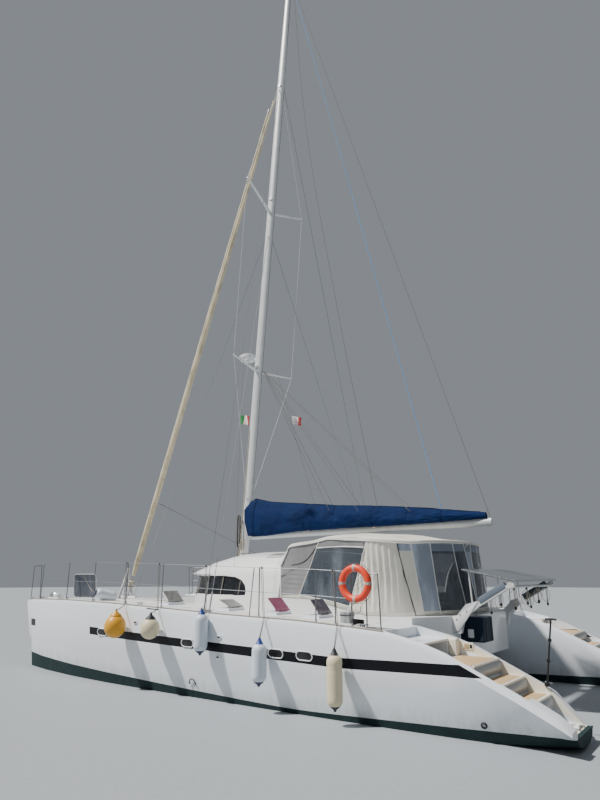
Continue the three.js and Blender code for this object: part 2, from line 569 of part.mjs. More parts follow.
const WHEEL_RADIUS = 420;
function buildWheel() {
  const torus = new THREE.TorusGeometry(WHEEL_RADIUS, 16, 6, 24).rotateY(Math.PI / 2);
  const rim = solidOf(torus.translate(WHEEL.x, WHEEL.y, WHEEL.z));
  const hub = bar(v3(WHEEL.x - 30, WHEEL.y, WHEEL.z), v3(WHEEL_HUB_X - SEAT, WHEEL.y, WHEEL.z), 36, 12);
  const spokes = [0, 1, 2, 3, 4].map((i) => {
    const angle = (i * 2 * Math.PI) / 5;
    const out = v3(0, WHEEL_RADIUS * Math.sin(angle), WHEEL_RADIUS * Math.cos(angle));
    return bar(WHEEL, WHEEL.clone().add(out), 9, 6);
  });
  return union([rim, hub, ...spokes]);
}
add("helm_wheel_port", buildWheel(), "steel");
add("helm_wheel_starboard", starboard(buildWheel()), "steel");

// Cockpit table.
add("cockpit_table", union([
  box(-3600, -2200, -500, 900, 2100, 2150),
  box(-3150, -2650, 100, 300, SOLE_Z + SEAT, 2120),
]), "wood");

// Two arms bolted to the back of the aft bench, with struts and a tube between them; the solar
// panel lies on them.
const PANEL = { front: v3(-5860, 0, 2890), aft: v3(-7040, 0, 2650), half: 1700, thick: 40 };
const ARM = { inner: 1560, outer: 1680 };
function buildDavits() {
  const slope = (PANEL.front.z - PANEL.aft.z) / (PANEL.front.x - PANEL.aft.x);
  const under = (x) => PANEL.aft.z + (x - PANEL.aft.x) * slope - PANEL.thick - SEAT;
  const profile = prism("y", [
    [-5540, BENCH.top + SEAT], [-5680, 1890], [-5890, 2120], [-6220, 2215], [-6530, 2380], [-6850, 2545],
    [-6900, under(-6900)], [-7000, under(-7000)], [-7000, 2510], [-6840, 2450], [-6560, 2285], [-6200, 2085],
    [-5820, 1800], [-5740, 1500], [-5540, 1500],
  ], ARM.inner, ARM.outer);
  const middle = (ARM.inner + ARM.outer) / 2;
  const strut = bar(v3(-6030, middle, 2120), v3(-5990, middle, under(-6020) - 5), 18, 8);
  const foot = box(-6020, -5960, middle - 40, middle + 40, under(-5960) - 20, under(-6020));
  const arm = cut(union([profile, strut, foot]), [moved(bridge, -SEAT, 0, 0), moved(bridge, 0, 0, SEAT)]);
  const tie = bar(v3(-6900, -middle, 2500), v3(-6900, middle, 2500), 30, 10);
  return union([arm, starboard(arm), tie]);
}
const davits = add("davits", buildDavits(), "alloy");
// Covered locker hung on the back of the bench, inboard of the port arm.
add("stern_locker", cut(box(-6180, -5600, 900, 1490, 1320, 1840), [
  moved(bridge, -SEAT, 0, 0), moved(davits, 0, SEAT, 0), moved(davits, 0, -SEAT, 0),
]), "blueCanvas");
add("solar_panel", prism("y", [
  [PANEL.front.x, PANEL.front.z], [PANEL.aft.x, PANEL.aft.z],
  [PANEL.aft.x, PANEL.aft.z - PANEL.thick], [PANEL.front.x, PANEL.front.z - PANEL.thick],
], -PANEL.half, PANEL.half), "panel");

// Mast, raked aft, standing on the house roof.
const { mapLinear } = THREE.MathUtils;
const mastX = (z) => mapLinear(z, MAST_FOOT.z, MAST_HEAD.z, MAST_FOOT.x, MAST_HEAD.x);
const MAST = { radius: 170, head: 120, flat: 0.6 };
function mastBody(extra, foot) {
  const ring = (z, radius) => Array.from({ length: 16 }, (_, i) => {
    const angle = (i * Math.PI) / 8;
    const reach = radius + extra;
    return v3(mastX(z) + reach * Math.cos(angle), reach * MAST.flat * Math.sin(angle), z);
  });
  return loft([ring(foot, MAST.radius), ring(HOUNDS_Z, MAST.radius), ring(MAST_HEAD.z, MAST.head)]);
}
const roofLevel = houseLayer(0);
const MAST_AXIS = MAST_HEAD.clone().sub(MAST_FOOT).normalize();
const onHinge = (rise) => GOOSENECK.clone().addScaledVector(MAST_AXIS, rise);
const LUG = { radius: 36, eye: 60, thick: 36 };
// The boom's eye turns between two lugs on the mast.
function buildLug(from, to) {
  const middle = (from + to) / 2;
  const arm = bar(onHinge(middle), v3(mastX(GOOSENECK.z), 0, onHinge(middle).z), 15, 8);
  return bar(onHinge(from), onHinge(to), LUG.radius, 12).add(arm);
}
const mast = cut(union([
  mastBody(0, 3000),
  box(MAST_HEAD.x - 230, MAST_HEAD.x + 170, -30, 30, 26380, 26500),
  buildLug(LUG.eye + SEAT, LUG.eye + LUG.thick),
  buildLug(-LUG.eye - LUG.thick, -LUG.eye - SEAT),
]), [moved(roofLevel, 0, 0, SEAT)]);
add("mast", mast, "alloy");
const mastClear = mastBody(SEAT / MAST.flat, 3000);

// Diamond rig: two pairs of spreaders a side, and the wires over their tips.
const SPREADERS = [
  { root: 15800, tip: v3(1030, 1640, 16320) },
  { root: 9600, tip: v3(1460, 1580, 9720) },
];
function buildDiamond() {
  const [upper, lower] = SPREADERS;
  const arms = SPREADERS.map(({ root, tip }) => bar(v3(mastX(root), 60, root), tip, 70, 8, 36, 0.5));
  const wires = run([v3(mastX(21500), 20, 21500), upper.tip, lower.tip, v3(mastX(4900), 20, 4900)], 9);
  return union([...arms, wires]);
}
const diamond = buildDiamond().subtract(mastClear);
add("diamond_rig_port", largest(diamond), "alloy");
add("diamond_rig_starboard", largest(starboard(diamond)), "alloy");

// Radar on its bracket ahead of the mast.
const RADAR = { z: 10150, ahead: 560 };
const RADAR_PROFILE = [[0, -90], [270, -90], [300, -30], [290, 60], [200, 110], [0, 125]];
function buildRadar() {
  const x = mastX(RADAR.z);
  const profile = RADAR_PROFILE.map(([r, z]) => new THREE.Vector2(r, z));
  const dome = new THREE.LatheGeometry(profile, 20).rotateX(Math.PI / 2);
  dome.translate(x + RADAR.ahead, 0, RADAR.z + 80);
  const bracket = box(x + 40, x + RADAR.ahead, -60, 60, RADAR.z - 60, RADAR.z - 5);
  return largest(cut(solidOf(dome).add(bracket), [mastClear]));
}
add("radar_dome", buildRadar(), "white");

// Shrouds from the mast to the chainplates on the hull decks.
function buildShroud(topZ, footX) {
  const top = v3(mastX(topZ), 30, topZ);
  const foot = v3(footX, CHAINPLATE.y, CHAINPLATE.z);
  const { y, z } = CHAINPLATE;
  const plate = box(footX - 70, footX + 70, y - 25, y + 25, z - 60, z + 60);
  const screw = bar(foot, foot.clone().lerp(top, 0.035), 20, 8);
  return largest(cut(union([bar(foot, top, 9, 6), plate, screw]), [mastClear, moved(hull, 0, 0, SEAT)]));
}
const SHROUDS = [
  { name: "cap_shroud", top: HOUNDS_Z, x: CHAINPLATE.x },
  { name: "lower_shroud", top: 15000, x: CHAINPLATE.x - 180 },
];
for (const { name, top, x } of SHROUDS) {
  const shroud = buildShroud(top, x);
  add(name + "_port", shroud, "steel");
  add(name + "_starboard", starboard(shroud), "steel");
}

// Forestay with the genoa rolled round it, and its furling drum.
const FORESTAY_FOOT = v3(7860, 0, 2125);
const FORESTAY_TOP = v3(mastX(HOUNDS_Z) + 60, 0, HOUNDS_Z);
function buildForestay() {
  const at = (t) => FORESTAY_FOOT.clone().lerp(FORESTAY_TOP, t);
  return largest(cut(union([
    bar(FORESTAY_FOOT, FORESTAY_TOP, 12, 8),
    bar(at(0.012), at(0.02), 105, 14),
    bar(at(0.03), at(0.06), 60, 10, 95),
    bar(at(0.06), at(0.5), 95, 10, 85),
    bar(at(0.5), at(0.955), 85, 10, 45),
  ]), [mastClear, moved(beam, 0, 0, SEAT)]));
}
add("forestay_genoa", buildForestay(), "sail");
const INNER_STAY = { foot: v3(7560, 0, 1950), topZ: 15300 };
add("inner_stay", largest(cut(bar(INNER_STAY.foot, v3(mastX(INNER_STAY.topZ), 0, INNER_STAY.topZ), 9, 6), [
  mastClear,
  box(7000, 8400, -300, 300, 1500, 2010 + SEAT),
  bar(FORESTAY_FOOT, FORESTAY_TOP, 125, 10),
])), "steel");

// Boom with its stowed mainsail cover.
function buildBoom() {
  const direction = BOOM_END.clone().sub(GOOSENECK).normalize();
  const start = GOOSENECK.clone().addScaledVector(direction, 70);
  const spar = bar(start, BOOM_END, 105, 12, 100, 0.72);
  const neck = bar(GOOSENECK, GOOSENECK.clone().addScaledVector(direction, 90), 34, 8);
  return union([spar, neck, bar(onHinge(-LUG.eye), onHinge(LUG.eye), LUG.radius, 12)]);
}
const boom = add("boom", buildBoom(), "alloy");
// Sail cover sections: x, top, half width and how far the underside lifts off the boom.
const boomTopZ = (x) => mapLinear(x, GOOSENECK.x, BOOM_END.x, GOOSENECK.z, BOOM_END.z) + 100;
const COVER = [
  [1840, 5060, 60, 140], [1700, 5170, 200], [1080, 5020, 270], [-100, 4900, 300], [-1560, 4740, 290],
  [-2800, 4650, 270], [-4370, 4490, 230], [-5400, 4350, 180], [-5950, 4290, 80],
].map(([x, top, half, lift = 0]) => ({ x, under: boomTopZ(x) - 18 + lift, top, half }));
const coverRing = ({ x, under, top, half }) => {
  const at = (share) => under + (top - under) * share;
  const side = [[half * 0.75, under], [half, at(0.35)], [half * 0.7, at(0.75)], [half * 0.2, top]];
  const far = side.map(([y, z]) => [-y, z]).reverse();
  return [[0, under], ...side, ...far].map(([y, z]) => v3(x, y, z));
};
add("sail_cover", loft(COVER.map(coverRing)).subtract(moved(boom, 0, 0, SEAT)), "blueCanvas");

// Guard rails: posts, two wires, bow and stern rails.
const POSTS = [
  { x: 8250, y: 3660 }, { x: 7300, y: 3900 }, { x: 5350, y: 4270 }, { x: 3900, y: 4400 },
  { x: 2420, y: 4430 }, { x: 1000, y: 4450 }, { x: -2200, y: 4450 }, { x: -3730, y: 4440 },
  { x: -4210, y: 4435 }, { x: -4600, y: 4432 }, { x: -4940, y: 4430 },
];
const POST_RADIUS = 14;
const STERN_HOOP_X = -5250; // the aft leg of the hoop that ends the rail
const BRACE = { foot: -1920, top: -2040 };
const RAIL_RISE = 1050;
const RAIL_WIRE = 7;
const railY = (x) => valueAt(POSTS, "y", x);
function buildRail() {
  const foot = ({ x, y }) => v3(x, y, deckZ(x) - 40);
  const top = ({ x, y }) => v3(x, y, deckZ(x) + RAIL_RISE);
  const middle = ({ x, y }) => v3(x, y, deckZ(x) + RAIL_RISE / 2);
  const posts = POSTS.map((p) => bar(foot(p), top(p).add(v3(0, 0, 12)), POST_RADIUS, 6));
  const wires = [run(POSTS.map(top), RAIL_WIRE, 6, false), run(POSTS.map(middle), RAIL_WIRE, 6, false)];
  const first = POSTS[0];
  const bowHoop = run([top(first), top({ x: first.x, y: 3400 }), foot({ x: 8150, y: 3400 })], POST_RADIUS);
  const last = POSTS[POSTS.length - 1];
  const corner = { x: STERN_HOOP_X + 40, y: last.y };
  const sternHoop = run([top(last), top(corner), foot({ x: STERN_HOOP_X, y: last.y })], POST_RADIUS);
  const side = railY(BRACE.top);
  const brace = bar(foot({ x: BRACE.foot, y: side }), top({ x: BRACE.top, y: side }), 12, 6);
  return cut(union([...posts, ...wires, bowHoop, sternHoop, brace]), [moved(hull, 0, 0, SEAT)]);
}
const rail = largest(buildRail());
add("rail_port", rail, "steel");
add("rail_starboard", starboard(rail), "steel");

// Life ring on the port rail.
const RING = { x: -4740, z: 2590, radius: 300, tube: 72 };
RING.y = railY(-4600) + POST_RADIUS + RING.tube + SEAT;
add("life_ring", solidOf(new THREE.TorusGeometry(RING.radius, RING.tube, 12, 24).rotateX(Math.PI / 2)
  .translate(RING.x, RING.y, RING.z)), "orange");

// Fenders over the port side: round and long ones, each on a lanyard from the rail.
const FENDERS = [
  { name: "fender_yellow", x: 2300, z: 1470, round: 270, paint: "yellow" },
  { name: "fender_cream_round", x: 960, z: 1480, round: 235, paint: "cream" },
  { name: "fender_white_fore", x: -715, z: 1475, length: 850, radius: 160, paint: "white" },
  { name: "fender_white_aft", x: -2465, z: 965, length: 800, radius: 160, paint: "white" },
  { name: "fender_cream_long", x: -4345, z: 790, length: 970, radius: 153, paint: "cream" },
];
const LEAD = 190; // the lanyards lean forward to the top wire
function buildFender({ x, z, round, length, radius }) {
  const wide = round || radius;
  const side = hullAt("outer", x) + wide + 2;
  const tall = round ? round * 1.15 : length / 2;
  const shape = round
    ? new THREE.SphereGeometry(round, 14, 10)
    : new THREE.CapsuleGeometry(radius, length - 2 * radius, 4, 14);
  const body = solidOf(shape.rotateX(Math.PI / 2).translate(x, side, z));
  const neck = bar(v3(x, side, z + tall * 0.8), v3(x, side, z + tall + 70), 50, 8, 22);
  const lip = v3(x, hullAt("outer", x) + 26, deckZ(x) - 20);
  const wire = v3(x + LEAD, railY(x + LEAD), deckZ(x + LEAD) + RAIL_RISE);
  const lanyard = run([v3(x, side, z + tall), lip, wire], 6);
  const clear = [
    moved(hull, 0, SEAT, 0), moved(hull, 0, 0, SEAT),
    moved(rail, 0, SEAT, 0), moved(rail, 0, 0, -SEAT),
  ];
  return largest(cut(union([body, neck, lanyard]), clear));
}
for (const fender of FENDERS) add(fender.name, buildFender(fender), fender.paint);

// Hatch lids on hinge barrels that lie along the rims behind the openings.
function buildHatchLid({ x, open }) {
  const hinge = v3(x - HATCH.lap, HATCH_Y, rimTop(x) + HATCH.barrel + 2 * SEAT);
  const length = HATCH.length + 2 * HATCH.lap;
  const plate = new THREE.BoxGeometry(length, HATCH.width + 2 * HATCH.lap, HATCH.thick);
  plate.translate(length / 2, 0, HATCH.thick / 2).rotateY((-open * Math.PI) / 180);
  plate.translate(hinge.x, hinge.y, hinge.z);
  const half = v3(0, 150, 0);
  const barrel = bar(hinge.clone().sub(half), hinge.clone().add(half), HATCH.barrel, 12);
  return solidOf(plate).add(barrel);
}
HATCHES.forEach((hatch, i) => {
  add("hatch_lid_port_" + (i + 1), buildHatchLid(hatch), "tinted");
  add("hatch_lid_starboard_" + (i + 1), starboard(buildHatchLid(hatch)), "tinted");
});

export default boat;
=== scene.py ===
"""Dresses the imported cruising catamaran: finishes, canvas, rigging lines and fittings.

Metres, X forward, Y to port, Z up; the origin is amidships in the plane of the water.
"""

import logging
from collections.abc import Callable, Iterable, Sequence
from dataclasses import dataclass, field
from enum import Enum
from math import copysign, cos, dist, exp, pi, radians, sin, sqrt, tanh, tau

import bmesh
import bpy
from mathutils import Matrix, Vector, noise
from mathutils.bvhtree import BVHTree


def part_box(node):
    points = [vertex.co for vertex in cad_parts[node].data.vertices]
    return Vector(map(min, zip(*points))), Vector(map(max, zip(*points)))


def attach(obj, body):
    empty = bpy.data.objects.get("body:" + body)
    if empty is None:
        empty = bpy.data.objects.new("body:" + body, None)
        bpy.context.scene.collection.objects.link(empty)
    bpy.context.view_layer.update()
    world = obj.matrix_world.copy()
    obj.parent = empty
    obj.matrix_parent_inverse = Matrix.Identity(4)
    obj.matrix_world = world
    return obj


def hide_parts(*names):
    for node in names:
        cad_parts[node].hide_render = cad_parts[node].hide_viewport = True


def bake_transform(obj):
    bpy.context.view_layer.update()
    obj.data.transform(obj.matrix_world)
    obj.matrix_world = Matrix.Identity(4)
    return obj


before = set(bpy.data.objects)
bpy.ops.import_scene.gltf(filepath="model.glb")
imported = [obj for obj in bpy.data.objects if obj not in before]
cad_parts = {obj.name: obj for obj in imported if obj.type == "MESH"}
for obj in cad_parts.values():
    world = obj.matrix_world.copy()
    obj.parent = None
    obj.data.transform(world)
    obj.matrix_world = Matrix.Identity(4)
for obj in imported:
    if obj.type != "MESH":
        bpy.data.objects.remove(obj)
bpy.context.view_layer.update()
LOG = logging.getLogger("catamaran")
ROOT = "platform"
SIDES = {"port": 1, "starboard": -1}
RAKE = -0.07422
Colour = tuple[float, float, float]


def srgb(code: str) -> Colour:
    """Linear colour of a six-digit sRGB code."""
    parts = [int(code[i:i + 2], 16) / 255 for i in (0, 2, 4)]
    return tuple(p / 12.92 if p <= 0.04045 else ((p + 0.055) / 1.055) ** 2.4 for p in parts)


def operator(operation: str, swapped: bool = False) -> "Callable[[Socket, Value], Socket]":
    """Makes a method that adds a Math node on a socket and another value.

    Args:
        operation: the node's operation.
        swapped: whether the socket comes second, as in a reflected form.

    Returns:
        The method.
    """
    def apply(self: "Socket", other: "Value") -> "Socket":
        """Adds the node."""
        pair = (other, self) if swapped else (self, other)
        return self.shader.math(operation, *pair)
    return apply


class Socket:
    """A node's output that adds Math nodes where Python works on it."""

    __add__ = __radd__ = operator("ADD")
    __mul__ = __rmul__ = operator("MULTIPLY")
    __sub__ = operator("SUBTRACT")
    __rsub__ = operator("SUBTRACT", swapped=True)
    __truediv__ = operator("DIVIDE")
    __gt__ = operator("GREATER_THAN")
    __lt__ = operator("LESS_THAN")
    __mod__ = operator("FLOORED_MODULO")

    def __init__(self, shader: "Shader", output: bpy.types.NodeSocket) -> None:
        """Args: shader: the tree it is in. output: the socket itself."""
        self.shader = shader
        self.output = output

    def __abs__(self) -> "Socket":
        """Size without its sign."""
        return self.shader.math("ABSOLUTE", self)

    def clamped(self) -> "Socket":
        """Held between 0 and 1."""
        return self.shader.math("MINIMUM", self.shader.math("MAXIMUM", self, 0.0), 1.0)


Value = Socket | float


class Shader:
    """The node tree of one material, which ends in its Principled shader."""

    def __init__(self, name: str) -> None:
        """Args: name: the material's name."""
        self.material = bpy.data.materials.new(name)
        self.material.use_nodes = True
        self.tree = self.material.node_tree
        self.surface = self.tree.nodes["Principled BSDF"]
        self.position = self.node("ShaderNodeTexCoord", output="Object")

    def node(self, kind: str, settings: dict | None = None, sockets: dict | None = None,
             output: int | str = 0) -> Socket:
        """Adds any node.

        Args:
            kind: the node's type.
            settings: its properties, set first; "stops" fills a colour ramp.
            sockets: a value or a link for each of its inputs, by name or number.
            output: which output is wanted.

        Returns:
            That output.
        """
        made = self.tree.nodes.new(kind)
        for name, value in (settings or {}).items():
            if name == "stops":
                for i, (place, colour) in enumerate(value):
                    stop = made.color_ramp.elements[i] if i < 2 else made.color_ramp.elements.new(place)
                    stop.position = place
                    stop.color = (*colour, 1.0)
            else:
                setattr(made, name, value)
        for key, value in (sockets or {}).items():
            self.feed(made.inputs[key], value)
        return Socket(self, made.outputs[output])

    def feed(self, target: bpy.types.NodeSocket, value: "Value | Colour") -> None:
        """Links a socket to an input, or sets the input's own value."""
        if isinstance(value, Socket):
            self.tree.links.new(value.output, target)
        elif isinstance(value, tuple) and len(value) == 3 and target.type == "RGBA":
            target.default_value = (*value, 1.0)
        else:
            target.default_value = value

    def math(self, operation: str, first: Value, second: Value = 0.0) -> Socket:
        """A Math node on one or two values."""
        return self.node("ShaderNodeMath", {"operation": operation}, {0: first, 1: second})

    def mix(self, share: Value, low: "Socket | Colour", high: "Socket | Colour") -> Socket:
        """A colour between low at share 0 and high at share 1."""
        return self.node("ShaderNodeMix", {"data_type": "RGBA"}, {0: share, 6: low, 7: high}, output=2)

    def axes(self) -> tuple[Socket, Socket, Socket]:
        """The x, y and z of the point on the object."""
        split = self.node("ShaderNodeSeparateXYZ", None, {0: self.position})
        outputs = split.output.node.outputs
        return split, Socket(self, outputs[1]), Socket(self, outputs[2])

    def stretched(self, scale: tuple[float, float, float]) -> Socket:
        """The point's coordinates times one factor an axis."""
        return self.node("ShaderNodeVectorMath", {"operation": "MULTIPLY"}, {0: self.position, 1: scale})

    def cloud(self, scale: float, detail: float = 3.0, where: Socket | None = None) -> Socket:
        """Smooth noise from 0 to 1, with scale features to the metre."""
        sockets = {"Vector": where or self.position, "Scale": scale, "Detail": detail}
        return self.node("ShaderNodeTexNoise", None, sockets)

    def wave(self, value: Socket) -> Socket:
        """Sine of a value in radians, moved to the range from 0 to 1."""
        return self.math("SINE", value) * 0.5 + 0.5

    def bump(self, height: Socket, depth: float) -> None:
        """Feeds the surface's normal from a height map of that depth in metres."""
        sockets = {"Height": height, "Distance": depth, "Strength": 1.0}
        self.feed(self.surface.inputs["Normal"], self.node("ShaderNodeBump", None, sockets))

    def put(self, **values: "Value | Colour") -> None:
        """Sets or feeds inputs of the Principled shader, with _ for a blank in a name."""
        for name, value in values.items():
            self.feed(self.surface.inputs[name.replace("_", " ").title().replace("Ior", "IOR")], value)


@dataclass(frozen=True)
class Finish:
    """A surface finish; its material is made once, at the first use."""

    name: str
    colour: Colour
    roughness: float = 0.5

    def material(self) -> bpy.types.Material:
        """The finish's material."""
        known = bpy.data.materials.get(self.name)
        if known:
            return known
        shader = Shader(self.name)
        self.paint(shader)
        return shader.material

    def paint(self, shader: Shader) -> None:
        """Plain matt plastic with slight mottling."""
        spots = shader.cloud(9.0)
        shade = tuple(c * 0.86 for c in self.colour)
        shader.put(base_color=shader.mix(spots, self.colour, shade))
        shader.put(roughness=spots * 0.16 + (self.roughness - 0.08))
        shader.bump(shader.cloud(160.0, 2.0), 0.0004)


@dataclass(frozen=True)
class Gelcoat(Finish):
    """Moulded gloss white that has chalked and streaked a little."""

    dirt: float = 0.1
    grip: float = 0.0

    def base(self, shader: Shader) -> Socket:
        """The colour before stripes: patches, and rain streaks down upright sides."""
        patches = shader.cloud(0.9, 4.0)
        streaks = shader.cloud(1.0, 3.0, shader.stretched((5.0, 5.0, 0.45)))
        grime = ((streaks - 0.5) * 2.6).clamped() * self.dirt + patches * self.dirt * 0.45
        dirty = tuple(c * f for c, f in zip(self.colour, (0.74, 0.7, 0.62)))
        return shader.mix(grime.clamped(), self.colour, dirty)

    def paint(self, shader: Shader) -> None:
        """Gloss with patches; decks have a moulded grip pattern."""
        shader.put(base_color=self.base(shader), coat_weight=0.25 if not self.grip else 0.0)
        wear = shader.cloud(2.2, 3.0)
        shader.put(roughness=wear * 0.14 + (self.roughness - 0.05))
        if self.grip:
            x, y, _ = shader.axes()
            studs = shader.wave(x * 420.0) * shader.wave(y * 420.0)
            shader.bump(studs, self.grip)
        else:
            shader.bump(shader.cloud(1.6, 1.0) + shader.cloud(90.0, 2.0) * 0.02, 0.004)


@dataclass(frozen=True)
class HullPaint(Gelcoat):
    """White topsides with the black stripe, and dark antifouling from just above the water down."""

    stripe_start: float = 3.92
    stripe_point: float = -7.19
    stripe_width: float = 0.196
    boot_low: float = 0.07
    boot_rise: float = 0.031
    black: Colour = (0.006, 0.007, 0.01)
    cream: Colour = (0.8, 0.76, 0.66)
    bottom: Colour = (0.011, 0.022, 0.024)

    def paint(self, shader: Shader) -> None:
        """Stripe and boot top follow their measured lines along the hull."""
        x, y, z = shader.axes()
        outer = (abs(y) > 3.7) * (1.0 - (x < -5.5) * (abs(y) < 4.36))
        lift = x * 0.0245 + 1.089
        aft_lift = shader.math("MAXIMUM", x * -1.0 - 4.3, 0.0) * 0.05
        low = lift + aft_lift
        tip = ((x - self.stripe_point) / 0.4).clamped() * self.stripe_width
        band = (z > low) * (z < low + tip) * (x < self.stripe_start)
        square = (x > 7.5) * (x < 7.95) * (z > 1.205) * (z < 1.41)
        mark = ((band + square) * outer).clamped()
        along = shader.math("SQRT", (x + 3.0) * (x + 3.0) + 0.4)
        wet = z < along * self.boot_rise + self.boot_low
        scum = (1.0 - (z - along * self.boot_rise - self.boot_low) * 2.2).clamped()
        runs = shader.cloud(1.0, 4.0, shader.stretched((9.0, 9.0, 0.7)))
        stain = (scum * runs * 0.75 - 0.12).clamped()
        well = (x < -5.5) * (abs(y) > 2.97) * (abs(y) < 3.9) * (z > x * 0.56 + 4.9) * (z > 0.2)
        clean = shader.mix(well, self.base(shader), self.cream)
        sides = shader.mix(stain, clean, srgb("8d8f7c"))
        painted = shader.mix(mark, sides, self.black)
        slime = shader.mix(shader.cloud(6.0, 4.0), self.bottom, tuple(c * 2.1 for c in self.bottom))
        shader.put(base_color=shader.mix(wet, painted, slime))
        shader.put(roughness=shader.cloud(2.0, 3.0) * 0.12 + self.roughness + wet * 0.4)
        shader.put(specular_ior_level=0.15)
        shader.bump(shader.cloud(1.1, 1.0) + wet * shader.cloud(40.0, 3.0) * 0.2, 0.006)


@dataclass(frozen=True)
class Metal(Finish):
    """Metal: polished, brushed or painted, with fine scratches along Z."""

    metallic: float = 1.0
    wear: float = 0.12

    def paint(self, shader: Shader) -> None:
        """Scratches change its gloss, and stains its colour."""
        scratch = shader.cloud(1.0, 2.0, shader.stretched((90.0, 90.0, 4.0)))
        stain = shader.cloud(3.0, 4.0)
        dull = tuple(c * 0.72 for c in self.colour)
        shader.put(base_color=shader.mix((stain - 0.35).clamped(), self.colour, dull))
        shader.put(metallic=self.metallic, roughness=scratch * self.wear + self.roughness)
        shader.bump(scratch, 0.0004)


@dataclass(frozen=True)
class Cloth(Finish):
    """Woven cloth with soft creases and grime."""

    weave: float = 500.0
    crease: float = 0.01
    grime: float = 0.25
    sheen: float = 0.2

    def paint(self, shader: Shader) -> None:
        """Threads both ways, creases as bump and darker grime in patches."""
        x, y, z = shader.axes()
        threads = shader.wave((x + y) * self.weave)
        threads *= shader.wave(z * self.weave + (y - x) * self.weave * 0.5)
        patches = shader.cloud(1.3, 5.0)
        streaks = shader.cloud(1.0, 3.0, shader.stretched((4.0, 4.0, 0.8)))
        amount = ((patches * streaks * 4.0 - 0.75) * self.grime * 2.0).clamped()
        dark = tuple(c * f for c, f in zip(self.colour, (0.55, 0.54, 0.5)))
        shader.put(base_color=shader.mix(amount, self.colour, dark))
        shader.put(roughness=self.roughness, sheen_weight=self.sheen, sheen_roughness=0.5)
        shader.put(specular_ior_level=0.15)
        folds = shader.cloud(2.1, 2.0, shader.stretched((1.0, 1.0, 1.6)))
        shader.bump(folds * self.crease + threads * 0.0006, 1.0)


@dataclass(frozen=True)
class Vinyl(Finish):
    """Clear window vinyl: see-through, glossy and rippled."""

    alpha: float = 0.42

    def paint(self, shader: Shader) -> None:
        """Haze changes how much shows through; ripples bend the reflections."""
        ripple = shader.cloud(2.6, 2.0, shader.stretched((1.0, 1.0, 0.5)))
        haze = shader.cloud(1.4, 3.0)
        streaks = ((shader.cloud(1.0, 4.0, shader.stretched((3.2, 3.2, 0.9))) - 0.5) * 5.0).clamped()
        pale = tuple(min(1.0, c * 1.6 + 0.05) for c in self.colour)
        shader.put(base_color=shader.mix(streaks, self.colour, pale), roughness=haze * 0.2 + self.roughness)
        shader.put(alpha=(haze * 0.35 + (self.alpha - 0.17)).clamped())
        shader.bump(ripple, 0.03)


@dataclass(frozen=True)
class DarkGlass(Finish):
    """Smoked acrylic glazing."""

    alpha: float = 0.9
    coat: float = 0.5
    bloom: float = 0.03

    def paint(self, shader: Shader) -> None:
        """Gloss with dust or crazing."""
        dust = ((shader.cloud(9.0, 5.0) - 0.4) * 3.0).clamped()
        pale = tuple(c + self.bloom for c in self.colour)
        shader.put(base_color=shader.mix(dust * 0.5, self.colour, pale))
        shader.put(roughness=dust * 0.1 + self.roughness, alpha=self.alpha, coat_weight=self.coat)
        shader.bump(shader.cloud(1.2, 1.0), 0.003)


@dataclass(frozen=True)
class Teak(Finish):
    """Oiled teak planks with dark caulking between them."""

    plank: float = 0.055
    caulk: Colour = (0.01, 0.009, 0.008)

    def paint(self, shader: Shader) -> None:
        """Grain along X and a caulk line between planks across Y."""
        _, y, _ = shader.axes()
        grain = shader.cloud(1.0, 5.0, shader.stretched((3.0, 90.0, 60.0)))
        tone = shader.cloud(1.0, 2.0, shader.stretched((2.0, 18.0, 1.0)))
        pale = tuple(min(1.0, c * 1.5) for c in self.colour)
        wood = shader.mix((grain * 0.6 + tone * 0.5 - 0.2).clamped(), self.colour, pale)
        seam = (y % self.plank) < 0.006
        shader.put(base_color=shader.mix(seam, wood, self.caulk), roughness=grain * 0.2 + self.roughness)
        shader.bump(grain * 0.3 - seam, 0.001)


@dataclass(frozen=True)
class Netting(Finish):
    """Woven trampoline net with square holes."""

    pitch: float = 0.028

    def paint(self, shader: Shader) -> None:
        """Cords along both axes; between them nothing shows."""
        x, y, _ = shader.axes()
        cords = (((x % self.pitch) < self.pitch * 0.42) + ((y % self.pitch) < self.pitch * 0.42)).clamped()
        dark = tuple(c * 0.7 for c in self.colour)
        shader.put(base_color=shader.mix(shader.cloud(2.0), self.colour, dark))
        shader.put(roughness=self.roughness, alpha=cords)
        shader.bump(shader.wave(x * (6.283 / self.pitch)) + shader.wave(y * (6.283 / self.pitch)), 0.002)


@dataclass(frozen=True)
class SolarCells(Finish):
    """Framed cells under glass."""

    cell: float = 0.16

    def paint(self, shader: Shader) -> None:
        """A pale line round each cell and finer ones across it."""
        x, y, _ = shader.axes()
        lines = (((x % self.cell) < 0.006) + ((y % self.cell) < 0.006)).clamped()
        fine = ((y % (self.cell / 3)) < 0.0025) * 0.4
        pale = srgb("8e959c")
        shader.put(base_color=shader.mix((lines + fine).clamped(), self.colour, pale))
        shader.put(roughness=shader.cloud(4.0) * 0.15 + self.roughness, coat_weight=0.6)


@dataclass(frozen=True)
class Rope(Finish):
    """Laid or braided rope, seen as fine slanting strands."""

    tracer: Colour = (0.5, 0.5, 0.5)
    pitch: float = 0.03

    def paint(self, shader: Shader) -> None:
        """Strands slant round the rope."""
        x, y, z = shader.axes()
        turn = (x + y + z) * (6.283 / self.pitch)
        strands = shader.wave(turn + shader.cloud(60.0, 1.0) * 2.0)
        shader.put(base_color=shader.mix(strands, self.tracer, self.colour), roughness=self.roughness)
        shader.bump(strands, 0.001)


